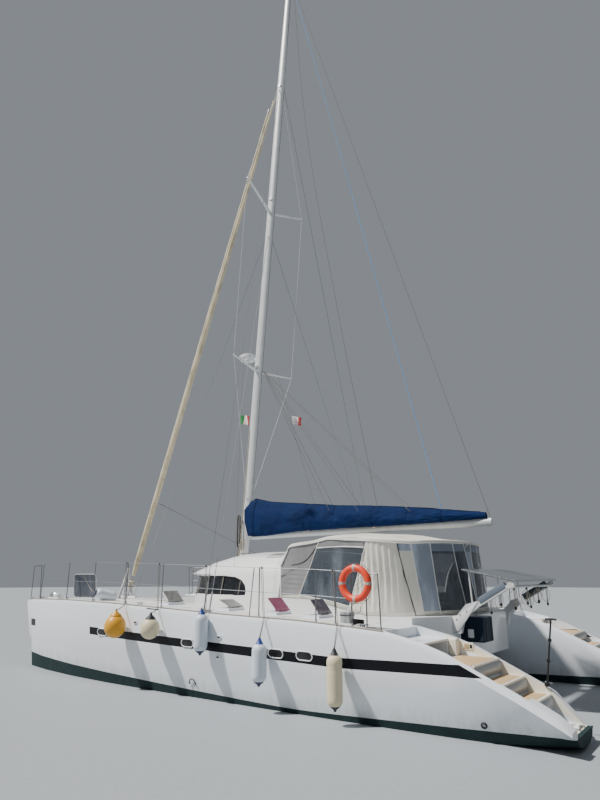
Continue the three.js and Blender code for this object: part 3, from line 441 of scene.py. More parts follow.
class Skin(Enum):
    """Every finish on the boat."""

    HULL = HullPaint("hull gelcoat", (0.79, 0.83, 0.88), 0.24)
    GELCOAT = Gelcoat("white gelcoat", (0.84, 0.85, 0.86), 0.28)
    CREAM_GELCOAT = Gelcoat("cream gelcoat", srgb("e9e4d6"), 0.34)
    DECK = Gelcoat("grip deck", (0.8, 0.79, 0.76), 0.6, grip=0.0012, dirt=0.2)
    # Grey gelcoat; on the stern risers its grey is partly painted shade of those aft-facing faces, and the
    # side-deck box shares it.
    GREY_RISER = Gelcoat("grey riser", srgb("a5a9ad"), 0.4, dirt=0.35)
    ALLOY = Metal("white painted alloy", srgb("d9dbdc"), 0.34, metallic=0.15)
    BARE_ALLOY = Metal("bare alloy", srgb("a9adb1"), 0.36, metallic=0.9)
    BOOM_GREY = Metal("grey boom alloy", srgb("c2c6c8"), 0.42, metallic=0.25)
    STEEL = Metal("stainless steel", srgb("c9cccf"), 0.16)
    WIRE = Metal("rigging wire", srgb("b3b7ba"), 0.3)
    BRONZE = Metal("bronze", srgb("8a6a35"), 0.34)
    ENGINE = Metal("painted engine", srgb("5c6660"), 0.5, metallic=0.3)
    ANTIFOULING = Finish("antifouling", (0.012, 0.035, 0.043), 0.8)
    CANVAS = Cloth("pale canvas", srgb("e3e0d6"), 0.85)
    GREY_CANVAS = Cloth("grey sunscreen canvas", srgb("87878a"), 0.9, crease=0.02)
    SLATE_CANVAS = Cloth("slate canvas", srgb("76808e"), 0.9, crease=0.012)
    PIPING = Cloth("white piping", srgb("f0efeb"), 0.7, crease=0.0)
    BLUE_CANVAS = Cloth("blue canvas", srgb("031f4a"), 0.85, grime=0.35, crease=0.02, sheen=0.0)
    NAVY_CANVAS = Cloth("navy canvas", srgb("1d2b3d"), 0.8, grime=0.4)
    SAILCLOTH = Cloth("rolled sailcloth", srgb("ddd0b2"), 0.75, grime=0.5, crease=0.006)
    CUSHION = Cloth("cushion cloth", srgb("cfc6b0"), 0.8, crease=0.004)
    NET = Netting("trampoline net", srgb("b4b6b5"), 0.9)
    VINYL = Vinyl("clear vinyl", srgb("59626d"), 0.08)
    DEEP_VINYL = Vinyl("smoked vinyl", srgb("353c49"), 0.12, alpha=0.72)
    HAZY_VINYL = Vinyl("hazy vinyl", srgb("8f99a8"), 0.3, alpha=0.93)
    GLAZING = DarkGlass("smoked glazing", srgb("14171c"), 0.06)
    DOOR_GLASS = DarkGlass("door glass", srgb("1d2429"), 0.05, alpha=0.4)
    TINT_ROSE = DarkGlass("rose hatch tint", srgb("8f4a66"), 0.42, alpha=0.96, coat=0.0, bloom=0.1)
    TINT_PLUM = DarkGlass("plum hatch tint", srgb("4a4150"), 0.42, alpha=0.96, coat=0.0, bloom=0.22)
    TINT_GREY = DarkGlass("grey hatch tint", srgb("6f6f6e"), 0.45, alpha=0.96, coat=0.0, bloom=0.25)
    PORTLIGHT = DarkGlass("portlight glass", srgb("06070a"), 0.3, alpha=1.0, coat=0.0)
    SOLAR = SolarCells("solar cells", srgb("4b5056"), 0.4)
    SLEEVE = Cloth("blue grey sleeve", srgb("66717f"), 0.8)
    SCREEN = Vinyl("grey mesh screen", srgb("4a505a"), 0.6, alpha=0.82)
    TEAK = Teak("teak", srgb("a97c49"), 0.55)
    ORANGE = Finish("orange ring", srgb("f0492c"), 0.42)
    BAND = Finish("pale band", srgb("b9b2ac"), 0.5)
    YELLOW = Finish("yellow vinyl", srgb("dfa126"), 0.42)
    CREAM_VINYL = Finish("cream vinyl", srgb("dfd3b0"), 0.5)
    WHITE_VINYL = Finish("white vinyl", srgb("d9e2ec"), 0.42)
    BLUE_VINYL = Finish("blue vinyl", srgb("1f3f8f"), 0.45)
    NAVY_VINYL = Finish("navy vinyl", srgb("16224a"), 0.45)
    DARK_VINYL = Finish("dark vinyl", srgb("20242c"), 0.55)
    TOE = Finish("weathered toe rail", srgb("98918a"), 0.7)
    BEIGE = Finish("beige plastic", srgb("b5a37c"), 0.5)
    MULLION = Finish("bronze mullion", srgb("86817a"), 0.5)
    FLAG_RED = Finish("red bunting", srgb("c8363a"), 0.8)
    FLAG_WHITE = Finish("white bunting", srgb("efefec"), 0.8)
    FLAG_GREEN = Finish("green bunting", srgb("3f8f55"), 0.8)
    BLACK = Finish("black plastic", srgb("17181b"), 0.5)
    RAIL = Metal("dull rail steel", srgb("7d8184"), 0.42, metallic=0.75)
    # Black rubber for trim and straps; the same black is painted shade in the holes of the hull outlets and
    # the well's vent.
    RUBBER = Finish("black rubber", srgb("1d1d1f"), 0.8)
    WHITE_PLASTIC = Finish("white plastic", srgb("eef0f1"), 0.35)
    RADOME = Finish("radome white", srgb("e6e9ec"), 0.35)
    ROPE = Rope("white rope", srgb("d8d2c2"), 0.85, tracer=srgb("8e8778"))
    GREY_ROPE = Rope("grey rope", srgb("7d7a74"), 0.9, tracer=srgb("4d4a46"))
    BLUE_ROPE = Rope("pale blue rope", srgb("6fa8dc"), 0.8, tracer=srgb("3f78b0"))
    DARK_ROPE = Rope("dark rope", srgb("26262a"), 0.9, tracer=srgb("0f0f12"))

    @property
    def material(self) -> bpy.types.Material:
        """The finish's material."""
        return self.value.material()

    @property
    def slot(self) -> str:
        """The record's material slot that the finish goes with."""
        return next((slot for slot, names in SLOTS.items() if self.name in names.split()), "gelcoat")


SLOTS = {
    "alloy": "ALLOY BARE_ALLOY BOOM_GREY",
    "steel": "STEEL WIRE RAIL",
    "bronze": "BRONZE",
    "engine": "ENGINE",
    "antifouling": "ANTIFOULING",
    "canvas": "CANVAS GREY_CANVAS SLATE_CANVAS PIPING ROPE GREY_ROPE BLUE_ROPE DARK_ROPE FLAG_RED "
              "FLAG_WHITE FLAG_GREEN SLEEVE SCREEN",
    "canvas_blue": "BLUE_CANVAS NAVY_CANVAS",
    "sailcloth": "SAILCLOTH",
    "upholstery": "CUSHION",
    "netting": "NET",
    "window_glass": "VINYL DEEP_VINYL HAZY_VINYL GLAZING DOOR_GLASS PORTLIGHT",
    "tinted_acrylic": "TINT_ROSE TINT_PLUM TINT_GREY",
    "solar": "SOLAR",
    "teak": "TEAK",
    "orange": "ORANGE BAND",
    "yellow_vinyl": "YELLOW",
    "cream_vinyl": "CREAM_VINYL",
    "white_vinyl": "WHITE_VINYL BLUE_VINYL NAVY_VINYL DARK_VINYL BLACK RUBBER WHITE_PLASTIC RADOME",
}


class Dressing:
    """Gives the carried-over CAD nodes their finishes and smooths their shading; * is either side."""

    TABLE = {
        Skin.HULL: "hull_*",
        Skin.GELCOAT: "bridge_deck saloon_house saloon_bulkhead saloon_galley centre_walkway helm_console_*",
        Skin.RADOME: "radar_dome",
        Skin.ENGINE: "engine_and_drive_*",
        Skin.BRONZE: "propeller_*",
        Skin.ANTIFOULING: "rudder_*",
        Skin.GLAZING: "saloon_window_band",
        Skin.DOOR_GLASS: "saloon_door",
        Skin.CUSHION: "saloon_settee",
        Skin.ALLOY: "front_beam mast davits diamond_rig_*",
        Skin.BOOM_GREY: "boom",
        Skin.NET: "net_*",
        Skin.CANVAS: "canopy_roof canopy_aft canopy_side_*",
        Skin.STEEL: "canopy_frame helm_wheel_*",
        Skin.RAIL: "rail_*",
        Skin.WIRE: "cap_shroud_* lower_shroud_* inner_stay",
        Skin.SAILCLOTH: "forestay_genoa",
        Skin.BLUE_CANVAS: "sail_cover",
        Skin.NAVY_CANVAS: "stern_locker",
        Skin.TEAK: "cockpit_table",
        Skin.SOLAR: "solar_panel",
        Skin.ORANGE: "life_ring",
        Skin.YELLOW: "fender_yellow",
        Skin.CREAM_VINYL: "fender_cream_round fender_cream_long",
        Skin.WHITE_VINYL: "fender_white_fore fender_white_aft",
    }
    LID_TINTS = (Skin.TINT_GREY, Skin.TINT_GREY, Skin.TINT_ROSE, Skin.TINT_PLUM)

    def node(self, name: str, finish: Skin) -> None:
        """Puts one finish on a node, welds its loose triangles and rounds its shading."""
        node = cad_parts[name]
        node.data.materials.clear()
        node.data.materials.append(finish.material)
        for face in node.data.polygons:
            face.use_smooth = True
            face.material_index = 0
        weld = node.modifiers.new("Weld", "WELD")
        weld.merge_threshold = 0.00005
        split = node.modifiers.new("Edge Split", "EDGE_SPLIT")
        split.split_angle = radians(32)

    def build(self) -> None:
        """Dresses every node."""
        for finish, names in self.TABLE.items():
            for name in names.split():
                for side in SIDES if "*" in name else ("",):
                    self.node(name.replace("*", side), finish)
        for number, finish in enumerate(self.LID_TINTS, 1):
            for side in SIDES:
                self.node(f"hatch_lid_{side}_{number}", finish)


Point = Sequence[float]


def vec(*parts: float) -> Vector:
    """The vector of these parts."""
    return Vector(parts)


def placed(name: str, data: bpy.types.ID) -> bpy.types.Object:
    """A new object in the scene."""
    thing = bpy.data.objects.new(name, data)
    bpy.context.scene.collection.objects.link(thing)
    return thing


class Piece:
    """One piece in the making: a bmesh, the finish of what is added next, and where it goes."""

    def __init__(self, name: str, finish: Skin) -> None:
        """Args: name: the piece's name. finish: its first finish."""
        self.name = name
        self.finishes = [finish]
        self.current = 0
        self.place = Matrix()
        self.shape = bmesh.new()
        self.shape.faces.layers.int.new("painted")

    def use(self, finish: Skin) -> "Piece":
        """What is added from here on has this finish."""
        self.settle()
        if finish not in self.finishes:
            self.finishes.append(finish)
        self.current = self.finishes.index(finish)
        return self

    def settle(self) -> None:
        """Gives the faces added since the last change of finish the current one."""
        painted = self.shape.faces.layers.int["painted"]
        for face in self.shape.faces:
            if not face[painted]:
                face.material_index = self.current
                face[painted] = 1

    def put(self, where: Point = (0, 0, 0), ahead: Point = (1, 0, 0), up: Point = (0, 0, 1)) -> "Piece":
        """Moves the place: its X axis points ahead, and its Z axis as near up as that allows."""
        x = Vector(ahead).normalized()
        y = Vector(up).cross(x).normalized()
        turn = Matrix((x, y, x.cross(y))).transposed()
        self.place = Matrix.Translation(where) @ turn.to_4x4()
        return self

    def box(self, low: Point, high: Point, bevel: float = 0.0, segments: int = 2) -> "Piece":
        """Adds a block between two corners, with rounded edges where a bevel is given."""
        low, high = Vector(low), Vector(high)
        verts = bmesh.ops.create_cube(self.shape, size=1.0)["verts"]
        size = Matrix.Diagonal((*(high - low), 1.0))
        matrix = self.place @ Matrix.Translation((low + high) / 2) @ size
        bmesh.ops.transform(self.shape, matrix=matrix, verts=verts)
        if bevel:
            edges = list(dict.fromkeys(e for v in verts for e in v.link_edges))
            bmesh.ops.bevel(self.shape, geom=edges, offset=bevel, affect="EDGES", segments=segments,
                            profile=0.5, material=-1, clamp_overlap=True)
        return self

    def rod(self, start: Point, end: Point, radius: float, end_radius: float | None = None,
            sides: int = 12) -> "Piece":
        """Adds a round bar, tapered where it has an end radius."""
        start, end = Vector(start), Vector(end)
        along = end - start
        turn = along.to_track_quat("Z", "Y").to_matrix().to_4x4()
        bmesh.ops.create_cone(self.shape, cap_ends=True, segments=sides, radius1=radius,
                              radius2=radius if end_radius is None else end_radius, depth=along.length,
                              matrix=self.place @ Matrix.Translation((start + end) / 2) @ turn)
        return self

    def ball(self, centre: Point, radii: Point, columns: int = 16, rows: int = 10) -> "Piece":
        """Adds an ellipsoid."""
        spread = Matrix.Translation(centre) @ Matrix.Diagonal((*radii, 1.0))
        bmesh.ops.create_uvsphere(self.shape, u_segments=columns, v_segments=rows, radius=1.0,
                                  matrix=self.place @ spread)
        return self

    def lathe(self, profile: Sequence[tuple[float, float]], centre: Point = (0, 0, 0),
              axis: Point = (0, 0, 1), steps: int = 24) -> "Piece":
        """Spins a profile of (radius, height) pairs about an axis through a centre."""
        turn = Vector(axis).to_track_quat("Z", "Y").to_matrix().to_4x4()
        matrix = self.place @ Matrix.Translation(centre) @ turn
        verts = [self.shape.verts.new(matrix @ vec(r, 0.0, h)) for r, h in profile]
        edges = [self.shape.edges.new(pair) for pair in zip(verts, verts[1:])]
        bmesh.ops.spin(self.shape, geom=[*verts, *edges], cent=matrix.translation,
                       axis=matrix.to_3x3() @ vec(0, 0, 1), angle=tau, steps=steps, use_merge=True)
        return self

    def tube(self, points: Sequence[Point], radius: float, sides: int = 1, smooth: bool = True,
             closed: bool = False) -> "Piece":
        """Adds a round tube along points, as a curve that is made a mesh."""
        curve = bpy.data.curves.new("tube", "CURVE")
        curve.dimensions = "3D"
        curve.bevel_depth = radius
        curve.bevel_resolution = sides
        curve.use_fill_caps = True
        curve.resolution_u = 5
        spline = curve.splines.new("BEZIER" if smooth else "POLY")
        spline.use_cyclic_u = closed
        knots = spline.bezier_points if smooth else spline.points
        knots.add(len(points) - 1)
        for knot, where in zip(knots, points):
            knot.co = where if smooth else (*where, 1.0)
            if smooth:
                knot.handle_left_type = knot.handle_right_type = "AUTO"
        holder = bpy.data.objects.new("tube", curve)
        mesh = bpy.data.meshes.new_from_object(holder)
        mesh.transform(self.place)
        self.shape.from_mesh(mesh)
        bpy.data.objects.remove(holder)
        bpy.data.curves.remove(curve)
        bpy.data.meshes.remove(mesh)
        return self

    def straight(self, points: Sequence[Point], radius: float, sides: int = 1,
                 closed: bool = False) -> "Piece":
        """Adds a tube that runs straight from point to point."""
        return self.tube(points, radius, sides, False, closed)

    def slab(self, outline: Sequence[tuple[float, float]], depth: float, bevel: float = 0.0,
             base: float = 0.0) -> "Piece":
        """Adds a plate: an outline on the place's X and Y, drawn out along its Z, its far rim rounded."""
        face = self.shape.faces.new([self.shape.verts.new(self.place @ vec(x, y, base)) for x, y in outline])
        made = bmesh.ops.extrude_face_region(self.shape, geom=[face])["geom"]
        verts = [g for g in made if isinstance(g, bmesh.types.BMVert)]
        bmesh.ops.translate(self.shape, vec=self.place.to_3x3() @ vec(0, 0, depth), verts=verts)
        if bevel:
            rim = [e for g in made if isinstance(g, bmesh.types.BMFace) for e in g.edges]
            bmesh.ops.bevel(self.shape, geom=rim, offset=bevel, affect="EDGES", segments=2, profile=0.5,
                            material=-1, clamp_overlap=True)
        return self

    def surface(self, at: Callable[[float, float], Point], columns: int, rows: int) -> "Piece":
        """Adds a grid bent to at(u, v), each from 0 to 1."""
        verts = bmesh.ops.create_grid(self.shape, x_segments=columns, y_segments=rows, size=0.5)["verts"]
        for vert in verts:
            vert.co = self.place @ Vector(at(vert.co.x + 0.5, vert.co.y + 0.5))
        return self

    def mirrored(self) -> "Piece":
        """Adds the same on the boat's other side."""
        self.settle()
        whole = [*self.shape.verts, *self.shape.edges, *self.shape.faces]
        copy = bmesh.ops.duplicate(self.shape, geom=whole)["geom"]
        verts = [g for g in copy if isinstance(g, bmesh.types.BMVert)]
        faces = [g for g in copy if isinstance(g, bmesh.types.BMFace)]
        bmesh.ops.scale(self.shape, vec=(1, -1, 1), verts=verts)
        bmesh.ops.reverse_faces(self.shape, faces=faces)
        return self

    def sort(self) -> None:
        """Orders points and faces by place, since spin and extrude make them in an order that varies."""
        shape = self.shape
        points = sorted(shape.verts, key=lambda vert: tuple(vert.co))
        faces = sorted(shape.faces, key=lambda face: tuple(face.calc_center_median()))
        for parts, ordered in ((shape.verts, points), (shape.faces, faces)):
            ranks = {part: rank for rank, part in enumerate(ordered)}
            parts.sort(key=ranks.get)

    def done(self, body: str | None = ROOT, replaces: Iterable[str] = (), closed: bool = True,
             angle: float = 38.0) -> bpy.types.Object:
        """Finishes the piece.

        Args:
            body: the body that it rides on, or None where its cloth joins two.
            replaces: CAD nodes that it stands for.
            closed: whether its shells are closed, so that their faces can be turned outwards.
            angle: the sharpest edge, in degrees, that is still shaded round.

        Returns:
            The piece's object.
        """
        self.settle()
        self.shape.faces.layers.int.remove(self.shape.faces.layers.int["painted"])
        if closed:
            self.sort()
        bmesh.ops.remove_doubles(self.shape, verts=self.shape.verts, dist=0.00003)
        if closed:
            bmesh.ops.recalc_face_normals(self.shape, faces=self.shape.faces)
            self.sort()
        mesh = bpy.data.meshes.new(self.name)
        self.shape.to_mesh(mesh)
        self.shape.free()
        for finish in self.finishes:
            mesh.materials.append(finish.material)
        mesh.shade_smooth()
        mesh.set_sharp_from_angle(angle=radians(angle))
        piece = placed(self.name, mesh)
        if body:
            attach(piece, body)
        if replaces:
            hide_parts(*replaces)
        self.finishes[0].slot
        LOG.info("%s: %d faces on %s", self.name, len(mesh.polygons), body)
        return piece

    def cloth(self, flat: tuple[float, float], held: str, rests_on: list[str], thick: float,
              offset: float = -1.0, cut: bool = True, **finish) -> bpy.types.Object:
        """Args:
            flat: width and length of the cloth that it was cut from; not used.
            held: how it is held; not used.
            rests_on: what holds it; not used.
            thick: the cloth's thickness.
            offset: where the thickness goes, from -1 inwards to 1 outwards.
            cut: whether it isn't the whole rectangle, so that its mesh gives its area; not used.
            finish: what done takes.

        Returns:
            The sheet's object.
        """
        area = sum(face.calc_area() for face in self.shape.faces)
        sheet = self.done(closed=False, **finish)
        wall = sheet.modifiers.new("Thickness", "SOLIDIFY")
        wall.thickness = thick
        wall.offset = offset
        return sheet

    def cord(self, path: list[Vector], thick: float) -> None:
        length = sum((b - a).length for a, b in zip(path, path[1:]))
        rope = self.straight(path, thick / 2, 2).done(angle=80)
        tuple(path[0])
        [tuple(p) for p in path]


class Probe:
    """Finds the surface of a CAD node."""

    def __init__(self, node: str) -> None:
        """Args: node: the node's name."""
        shape = bmesh.new()
        shape.from_mesh(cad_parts[node].data)
        self.tree = BVHTree.FromBMesh(shape)
        shape.free()

    def top(self, x: float, y: float) -> Vector:
        """The highest point at x and y."""
        return self.tree.ray_cast(vec(x, y, 40), vec(0, 0, -1))[0]

    def side(self, x: float, z: float) -> tuple[Vector, Vector]:
        """The outermost point of the port side at x and z, and the way that it faces."""
        return self.tree.ray_cast(vec(x, 20, z), vec(0, -1, 0))[:2]


def lerp(a: "float | Vector", b: "float | Vector", t: float) -> "float | Vector":
    """The value or point at share t between a and b."""
    return a + (b - a) * t


def evenly(a: float, b: float, count: int) -> list[float]:
    """The values from a to b in that many equal steps, both ends included."""
    return [lerp(a, b, i / count) for i in range(count + 1)]


def raked(foot: Point, z: float) -> Vector:
    """The point at height z of a line through foot that leans aft as the mast does."""
    return Vector(foot) + vec(RAKE * (z - foot[2]), 0.0, z - foot[2])


def along(rows: Sequence[Point], x: float) -> list[float]:
    """Straight-line values at x of rows that begin with x and are sorted by it downwards."""
    if x >= rows[0][0]:
        return list(rows[0][1:])
    for first, second in zip(rows, rows[1:]):
        if x >= second[0]:
            share = (first[0] - x) / (first[0] - second[0])
            return [lerp(a, b, share) for a, b in zip(first[1:], second[1:])]
    return list(rows[-1][1:])


def ripple(where: Point, scale: float, depth: float) -> float:
    """Smooth noise at a point: features of about 1/scale metres and of that depth."""
    return noise.noise(Vector(where) * scale) * depth


DECK_Z = ((8.53, 1.985), (8.0, 2.005), (6.8, 2.035), (5.2, 2.055), (4.7, 2.052), (3.2, 2.03),
          (1.0, 1.965), (-1.2, 1.885), (-3.3, 1.835), (-4.6, 1.765), (-5.3, 1.715), (-6.0, 1.57),
          (-6.5, 1.41), (-7.1, 1.14), (-7.75, 0.84), (-8.3, 0.56), (-8.53, 0.38))
DECK_EDGE = ((8.53, 3.62), (8.0, 3.8), (6.8, 4.12), (5.2, 4.37), (4.7, 4.42), (3.2, 4.52), (1.0, 4.57),
             (-1.2, 4.575), (-3.3, 4.565), (-4.6, 4.555), (-5.3, 4.545), (-6.0, 4.535), (-6.5, 4.525),
             (-7.1, 4.505), (-7.75, 4.475), (-8.3, 4.44), (-8.53, 4.42))


def deck_z(x: float) -> float:
    """Height of the hull's deck at x."""
    return along(DECK_Z, x)[0]


def deck_edge(x: float) -> float:
    """Distance of the hull's outer deck edge from the centreline at x."""
    return along(DECK_EDGE, x)[0]


@dataclass
class Canopy:
    """The cockpit's cloth enclosure: a roof stretched over the hoops and a wall all round."""

    front: float = -1.44
    brow: float = -1.72
    bend: float = -3.9
    aft: float = -5.4
    half: float = 2.7
    camber: float = 0.19
    foot_spread: float = 0.16
    foot: float = 1.874
    hoops: tuple[float, ...] = (-1.8, -3.0, -4.1)
    hoop_reach: float = 1.02
    hoop_half: float = 2.56
    thread: float = 0.003
    steps: int = 400
    round_plan: list[tuple[float, float, float]] = field(default_factory=list)

    EDGE = ((-1.72, 3.5), (-2.87, 3.65), (-3.62, 3.63), (-4.26, 3.55), (-4.68, 3.49), (-5.4, 3.38))
    FRONT_EDGE = ((2.7, 3.02), (2.3, 3.2), (2.0, 3.3), (1.5, 3.38), (0.0, 3.42))

    def __post_init__(self) -> None:
        """Measures the arc of the round end: distance, x and y of points along it."""
        spot, gone = None, 0.0
        for i in range(self.steps + 1):
            angle = pi * i / self.steps
            here = (self.bend - (self.bend - self.aft) * sin(angle), self.half * cos(angle))
            gone += dist(spot, here) if spot else 0.0
            self.round_plan.append((gone, *here))
            spot = here

    @property
    def side(self) -> float:
        """Length of one straight side."""
        return self.front - self.bend

    @property
    def length(self) -> float:
        """Length of the whole wall."""
        return 2 * self.side + self.round_plan[-1][0]

    def roof_z(self, x: float, y: float) -> float:
        """Height of the roof, which slopes down to the coachroof at its front."""
        crown = along(self.EDGE, x)[0] + self.camber * (1 - (y / self.half) ** 2)
        slope = min(1.0, max(0.0, (x - self.brow) / (self.front - self.brow)))
        return lerp(crown, along(self.FRONT_EDGE, abs(y))[0], slope)

    def sag(self, x: float) -> float:
        """How far the roof hangs between the hoops."""
        edges = (*self.hoops, self.aft)
        for fore, rear in zip(edges, edges[1:]):
            if rear <= x <= fore:
                return 0.018 * sin(pi * (fore - x) / (fore - rear)) ** 2
        return 0.0

    def roof_half(self, x: float) -> float:
        """Half breadth of the roof at x."""
        reach = min(1.0, max(0.0, (self.bend - x) / (self.bend - self.aft)))
        return self.half * sqrt(1 - reach ** 2)

    def plan(self, s: float, z: float) -> tuple[float, float, float, float]:
        """x and y of the wall at a distance s from its port front end, and the way it faces there."""
        if s <= self.side:
            return self.front - s, self.half, 0.0, 1.0
        if s >= self.length - self.side:
            return self.bend + s - (self.length - self.side), -self.half, 0.0, -1.0
        gone = s - self.side
        index = next(i for i, row in enumerate(self.round_plan) if row[0] >= gone)
        before, after = self.round_plan[max(0, index - 1)], self.round_plan[index]
        share = (gone - before[0]) / ((after[0] - before[0]) or 1.0)
        x, y = lerp(before[1], after[1], share), lerp(before[2], after[2], share)
        out = lerp(self.foot_spread, -0.04, (z - self.foot) / (3.7 - self.foot))
        deep = self.bend - self.aft
        faces = vec(after[2] - before[2], before[1] - after[1]).normalized()
        return self.bend + (x - self.bend) * (deep + out) / deep, y, faces.x, -faces.y

    def coaming_z(self, x: float) -> float:
        """Height of the coaming that the wall stands on."""
        return along([(-1.4, 2.2), (-2.3, 2.18), (-3.9, 1.86), (-9.0, 1.86)], x)[0] + 0.008

    def wall(self, s: float, v: float, fold: float = 0.0) -> Vector:
        """A point on the wall, v from its foot at 0 to the roof at 1."""
        x, y, *_ = self.plan(s, 2.8)
        z = lerp(self.coaming_z(x), self.roof_z(x, y) - 0.012, v)
        x, y, nx, ny = self.plan(s, z)
        hold = sin(pi * min(1.0, max(0.0, v))) ** 0.5
        out = hold * (ripple((s, 0, z), 1.7, 0.02) + ripple((s * 2, 5, z), 4.1, 0.009) - 0.008)
        out += 0.007 * hold * sin(z * 54.0 + s * 3.0) * max(0.0, 1.0 - s / 1.1) * (v < 0.62)
        out += fold * hold * sin(s * tau / 0.135 + 1.6 * sin(z * 1.7) + 0.8 * sin(s * 5.3))
        return vec(x + nx * out, y + ny * out, z)

    SEAMS = ((0.01, 0.01), (1.21, 0.555), (2.56, 2.0), (3.26, 3.55), (3.61, 3.76), (4.18, 4.22), (5.0, 5.22),
             (5.6, 5.82))
    PANELS = (Skin.GREY_CANVAS, Skin.VINYL, Skin.CANVAS, Skin.CANVAS, Skin.HAZY_VINYL,
              Skin.VINYL, Skin.DEEP_VINYL, Skin.HAZY_VINYL)
    BANDS = (Skin.GREY_CANVAS, Skin.GREY_CANVAS, Skin.CANVAS, Skin.HAZY_VINYL, Skin.HAZY_VINYL,
             Skin.SLATE_CANVAS, Skin.SLATE_CANVAS, Skin.SLATE_CANVAS)
    PLEATED = (2,)
    HEM = 0.055
    BAND = 0.86

    def seams(self) -> list[tuple[float, float]]:
        """Every seam from the port front end to the starboard one, as its top and foot distances."""
        middle = self.length / 2
        far = [(self.length - top, self.length - foot) for top, foot in reversed(self.SEAMS)]
        return [*self.SEAMS, (middle, middle), *far]

    def between(self, u: float, v: float, *ends: float) -> Vector:
        """A point of one panel, u from its fore seam to its rear one and v from its low edge up."""
        top, foot, rear_top, rear_foot, low, high, fold = ends
        height = lerp(low, high, v)
        return self.wall(lerp(lerp(foot, top, height), lerp(rear_foot, rear_top, height), u), height, fold)

    def build_wall(self) -> None:
        """Cloth and window panels between slanting seams, with a hem below and a band above."""
        seams = self.seams()
        last = len(seams) - 2
        cloth = Piece("canopy_wall", Skin.CANVAS)
        for number, (fore, rear) in enumerate(zip(seams, seams[1:])):
            panel = min(number, last - number)
            fold = 0.024 if panel in self.PLEATED else 0.0
            columns = max(6, round(abs(rear[0] - fore[0]) / (0.018 if fold else 0.09)))
            rise = 14 if panel else 70
            for low, high, rows in ((0.0, self.HEM, 1), (self.HEM, self.BAND, rise), (self.BAND, 1.0, 3)):
                main = low == self.HEM
                skin = self.PANELS[panel] if main else self.BANDS[panel] if low else Skin.CANVAS
                ends = (*fore, *rear, low, high, fold)
                cloth.use(skin).surface(lambda u, v, e=ends: self.between(u, v, *e), columns, rows)
        bmesh.ops.remove_doubles(cloth.shape, verts=cloth.shape.verts, dist=0.0005)
        bmesh.ops.recalc_face_normals(cloth.shape, faces=cloth.shape.faces)
        cloth.cloth((2.0, 11.9), "stretched", ["canopy_frame", "bridge_deck"], self.thread, 0.0,
                    replaces=("canopy_aft", "canopy_side_port", "canopy_side_starboard"))

    def roof(self, u: float, v: float) -> Vector:
        """A point on the roof; near its rim it turns down over the wall."""
        rim = 0.03
        inner = min(1.0, max(0.0, (v - rim) / (1 - 2 * rim)))
        gone = min(1.0, u / (1 - rim))
        x = self.front + 0.012 + (self.aft - self.front - 0.008) * (1 - (1 - gone) ** 1.6)
        y = (2 * inner - 1) * self.roof_half(x)
        drop = 0.06 * max((rim - v) / rim, (v - 1 + rim) / rim, (u - 1 + rim) / rim, 0.0)
        out = 0.01 if drop else 0.0
        z = self.roof_z(x, y) + 0.004 - self.sag(x) - drop + ripple((x, y, 3), 1.3, 0.012)
        reach = vec(x - self.bend, y).normalized() * out if x < self.bend else vec(0.0, copysign(out, y))
        return vec(x + reach.x, y + reach.y, z)

    def build_roof(self) -> None:
        """One sheet over the hoops, its rim turned down."""
        cloth = Piece("canopy_roof_cloth", Skin.CANVAS)
        cloth.surface(self.roof, 72, 64)
        cloth.cloth((4.4, 5.8), "stretched", ["canopy_frame", "hoop_sleeves"], self.thread,
                    replaces=("canopy_roof",), angle=60)

    def build_trim(self) -> None:
        """White piping on the seams, dark zips, straps, lashings of the roof's rim and hoop sleeves."""
        piping = Piece("canopy_piping", Skin.PIPING)
        share = evenly(0, 1, 12)
        seams = self.seams()
        zips = (3, len(seams) - 4)
        for number, (top, foot) in enumerate(seams):
            if number == len(self.SEAMS):
                continue
            piping.use(Skin.DARK_VINYL if number in zips else Skin.PIPING)
            piping.tube([self.wall(lerp(foot, top, v), v) for v in share], 0.011 if number else 0.018)
        lines = (([(5.84, 0.97), (4.7, 0.58), (4.46, 0.3)], 0.012, Skin.PIPING),
                 ([(1.1, 0.86), (0.76, 0.66), (0.36, 0.61)], 0.014, Skin.DARK_VINYL),
                 ([(0.02, 0.6), (0.55, 0.545), (0.75, 0.53)], 0.008, Skin.GREY_ROPE),
                 ([(1.12, 0.86), (1.8, 0.865), (2.46, 0.88)], 0.016, Skin.PIPING),
                 ([(0.59, 0.055), (1.3, 0.056), (2.05, 0.057)], 0.012, Skin.PIPING))
        for curve, radius, finish in lines:
            for mark in (1, -1):
                piping.use(finish)
                piping.tube([self.wall(s if mark > 0 else self.length - s, v) for s, v in curve], radius)
        piping.use(Skin.PIPING)
        rim = evenly(0, 1, 90)
        piping.tube([self.roof(1.0, v) for v in rim[6:-6]], 0.012)
        for v in (0.0, 1.0):
            piping.tube([self.roof(u, v) for u in rim[:-4]], 0.012)
        for i in range(26):
            s = lerp(3.7, 5.7, i / 25)
            piping.straight([self.wall(s, 0.995), self.wall(s + 0.03, 0.955)], 0.005)
        piping.done()
        sleeves = Piece("hoop_sleeves", Skin.CANVAS)
        for x in self.hoops:
            path = evenly(-self.hoop_half, self.hoop_half, 16)
            sleeves.tube([(x, y, self.hoop_z(x, y) - 0.01) for y in path], 0.034, sides=2)
        sleeves.done()

    def hoop_z(self, x: float, y: float) -> float:
        """Height of a hoop's bars, which run straight between their bends."""
        ends = sorted((self.hoop_half, self.hoop_reach))
        at = [self.roof_z(x, e) - 0.068 for e in ends]
        share = (abs(y) - ends[0]) / (ends[1] - ends[0])
        return lerp(at[0], at[1], max(0.0, share))

    def build(self) -> None:
        """Wall, roof and trim."""
        self.build_trim()
        self.build_wall()
        self.build_roof()


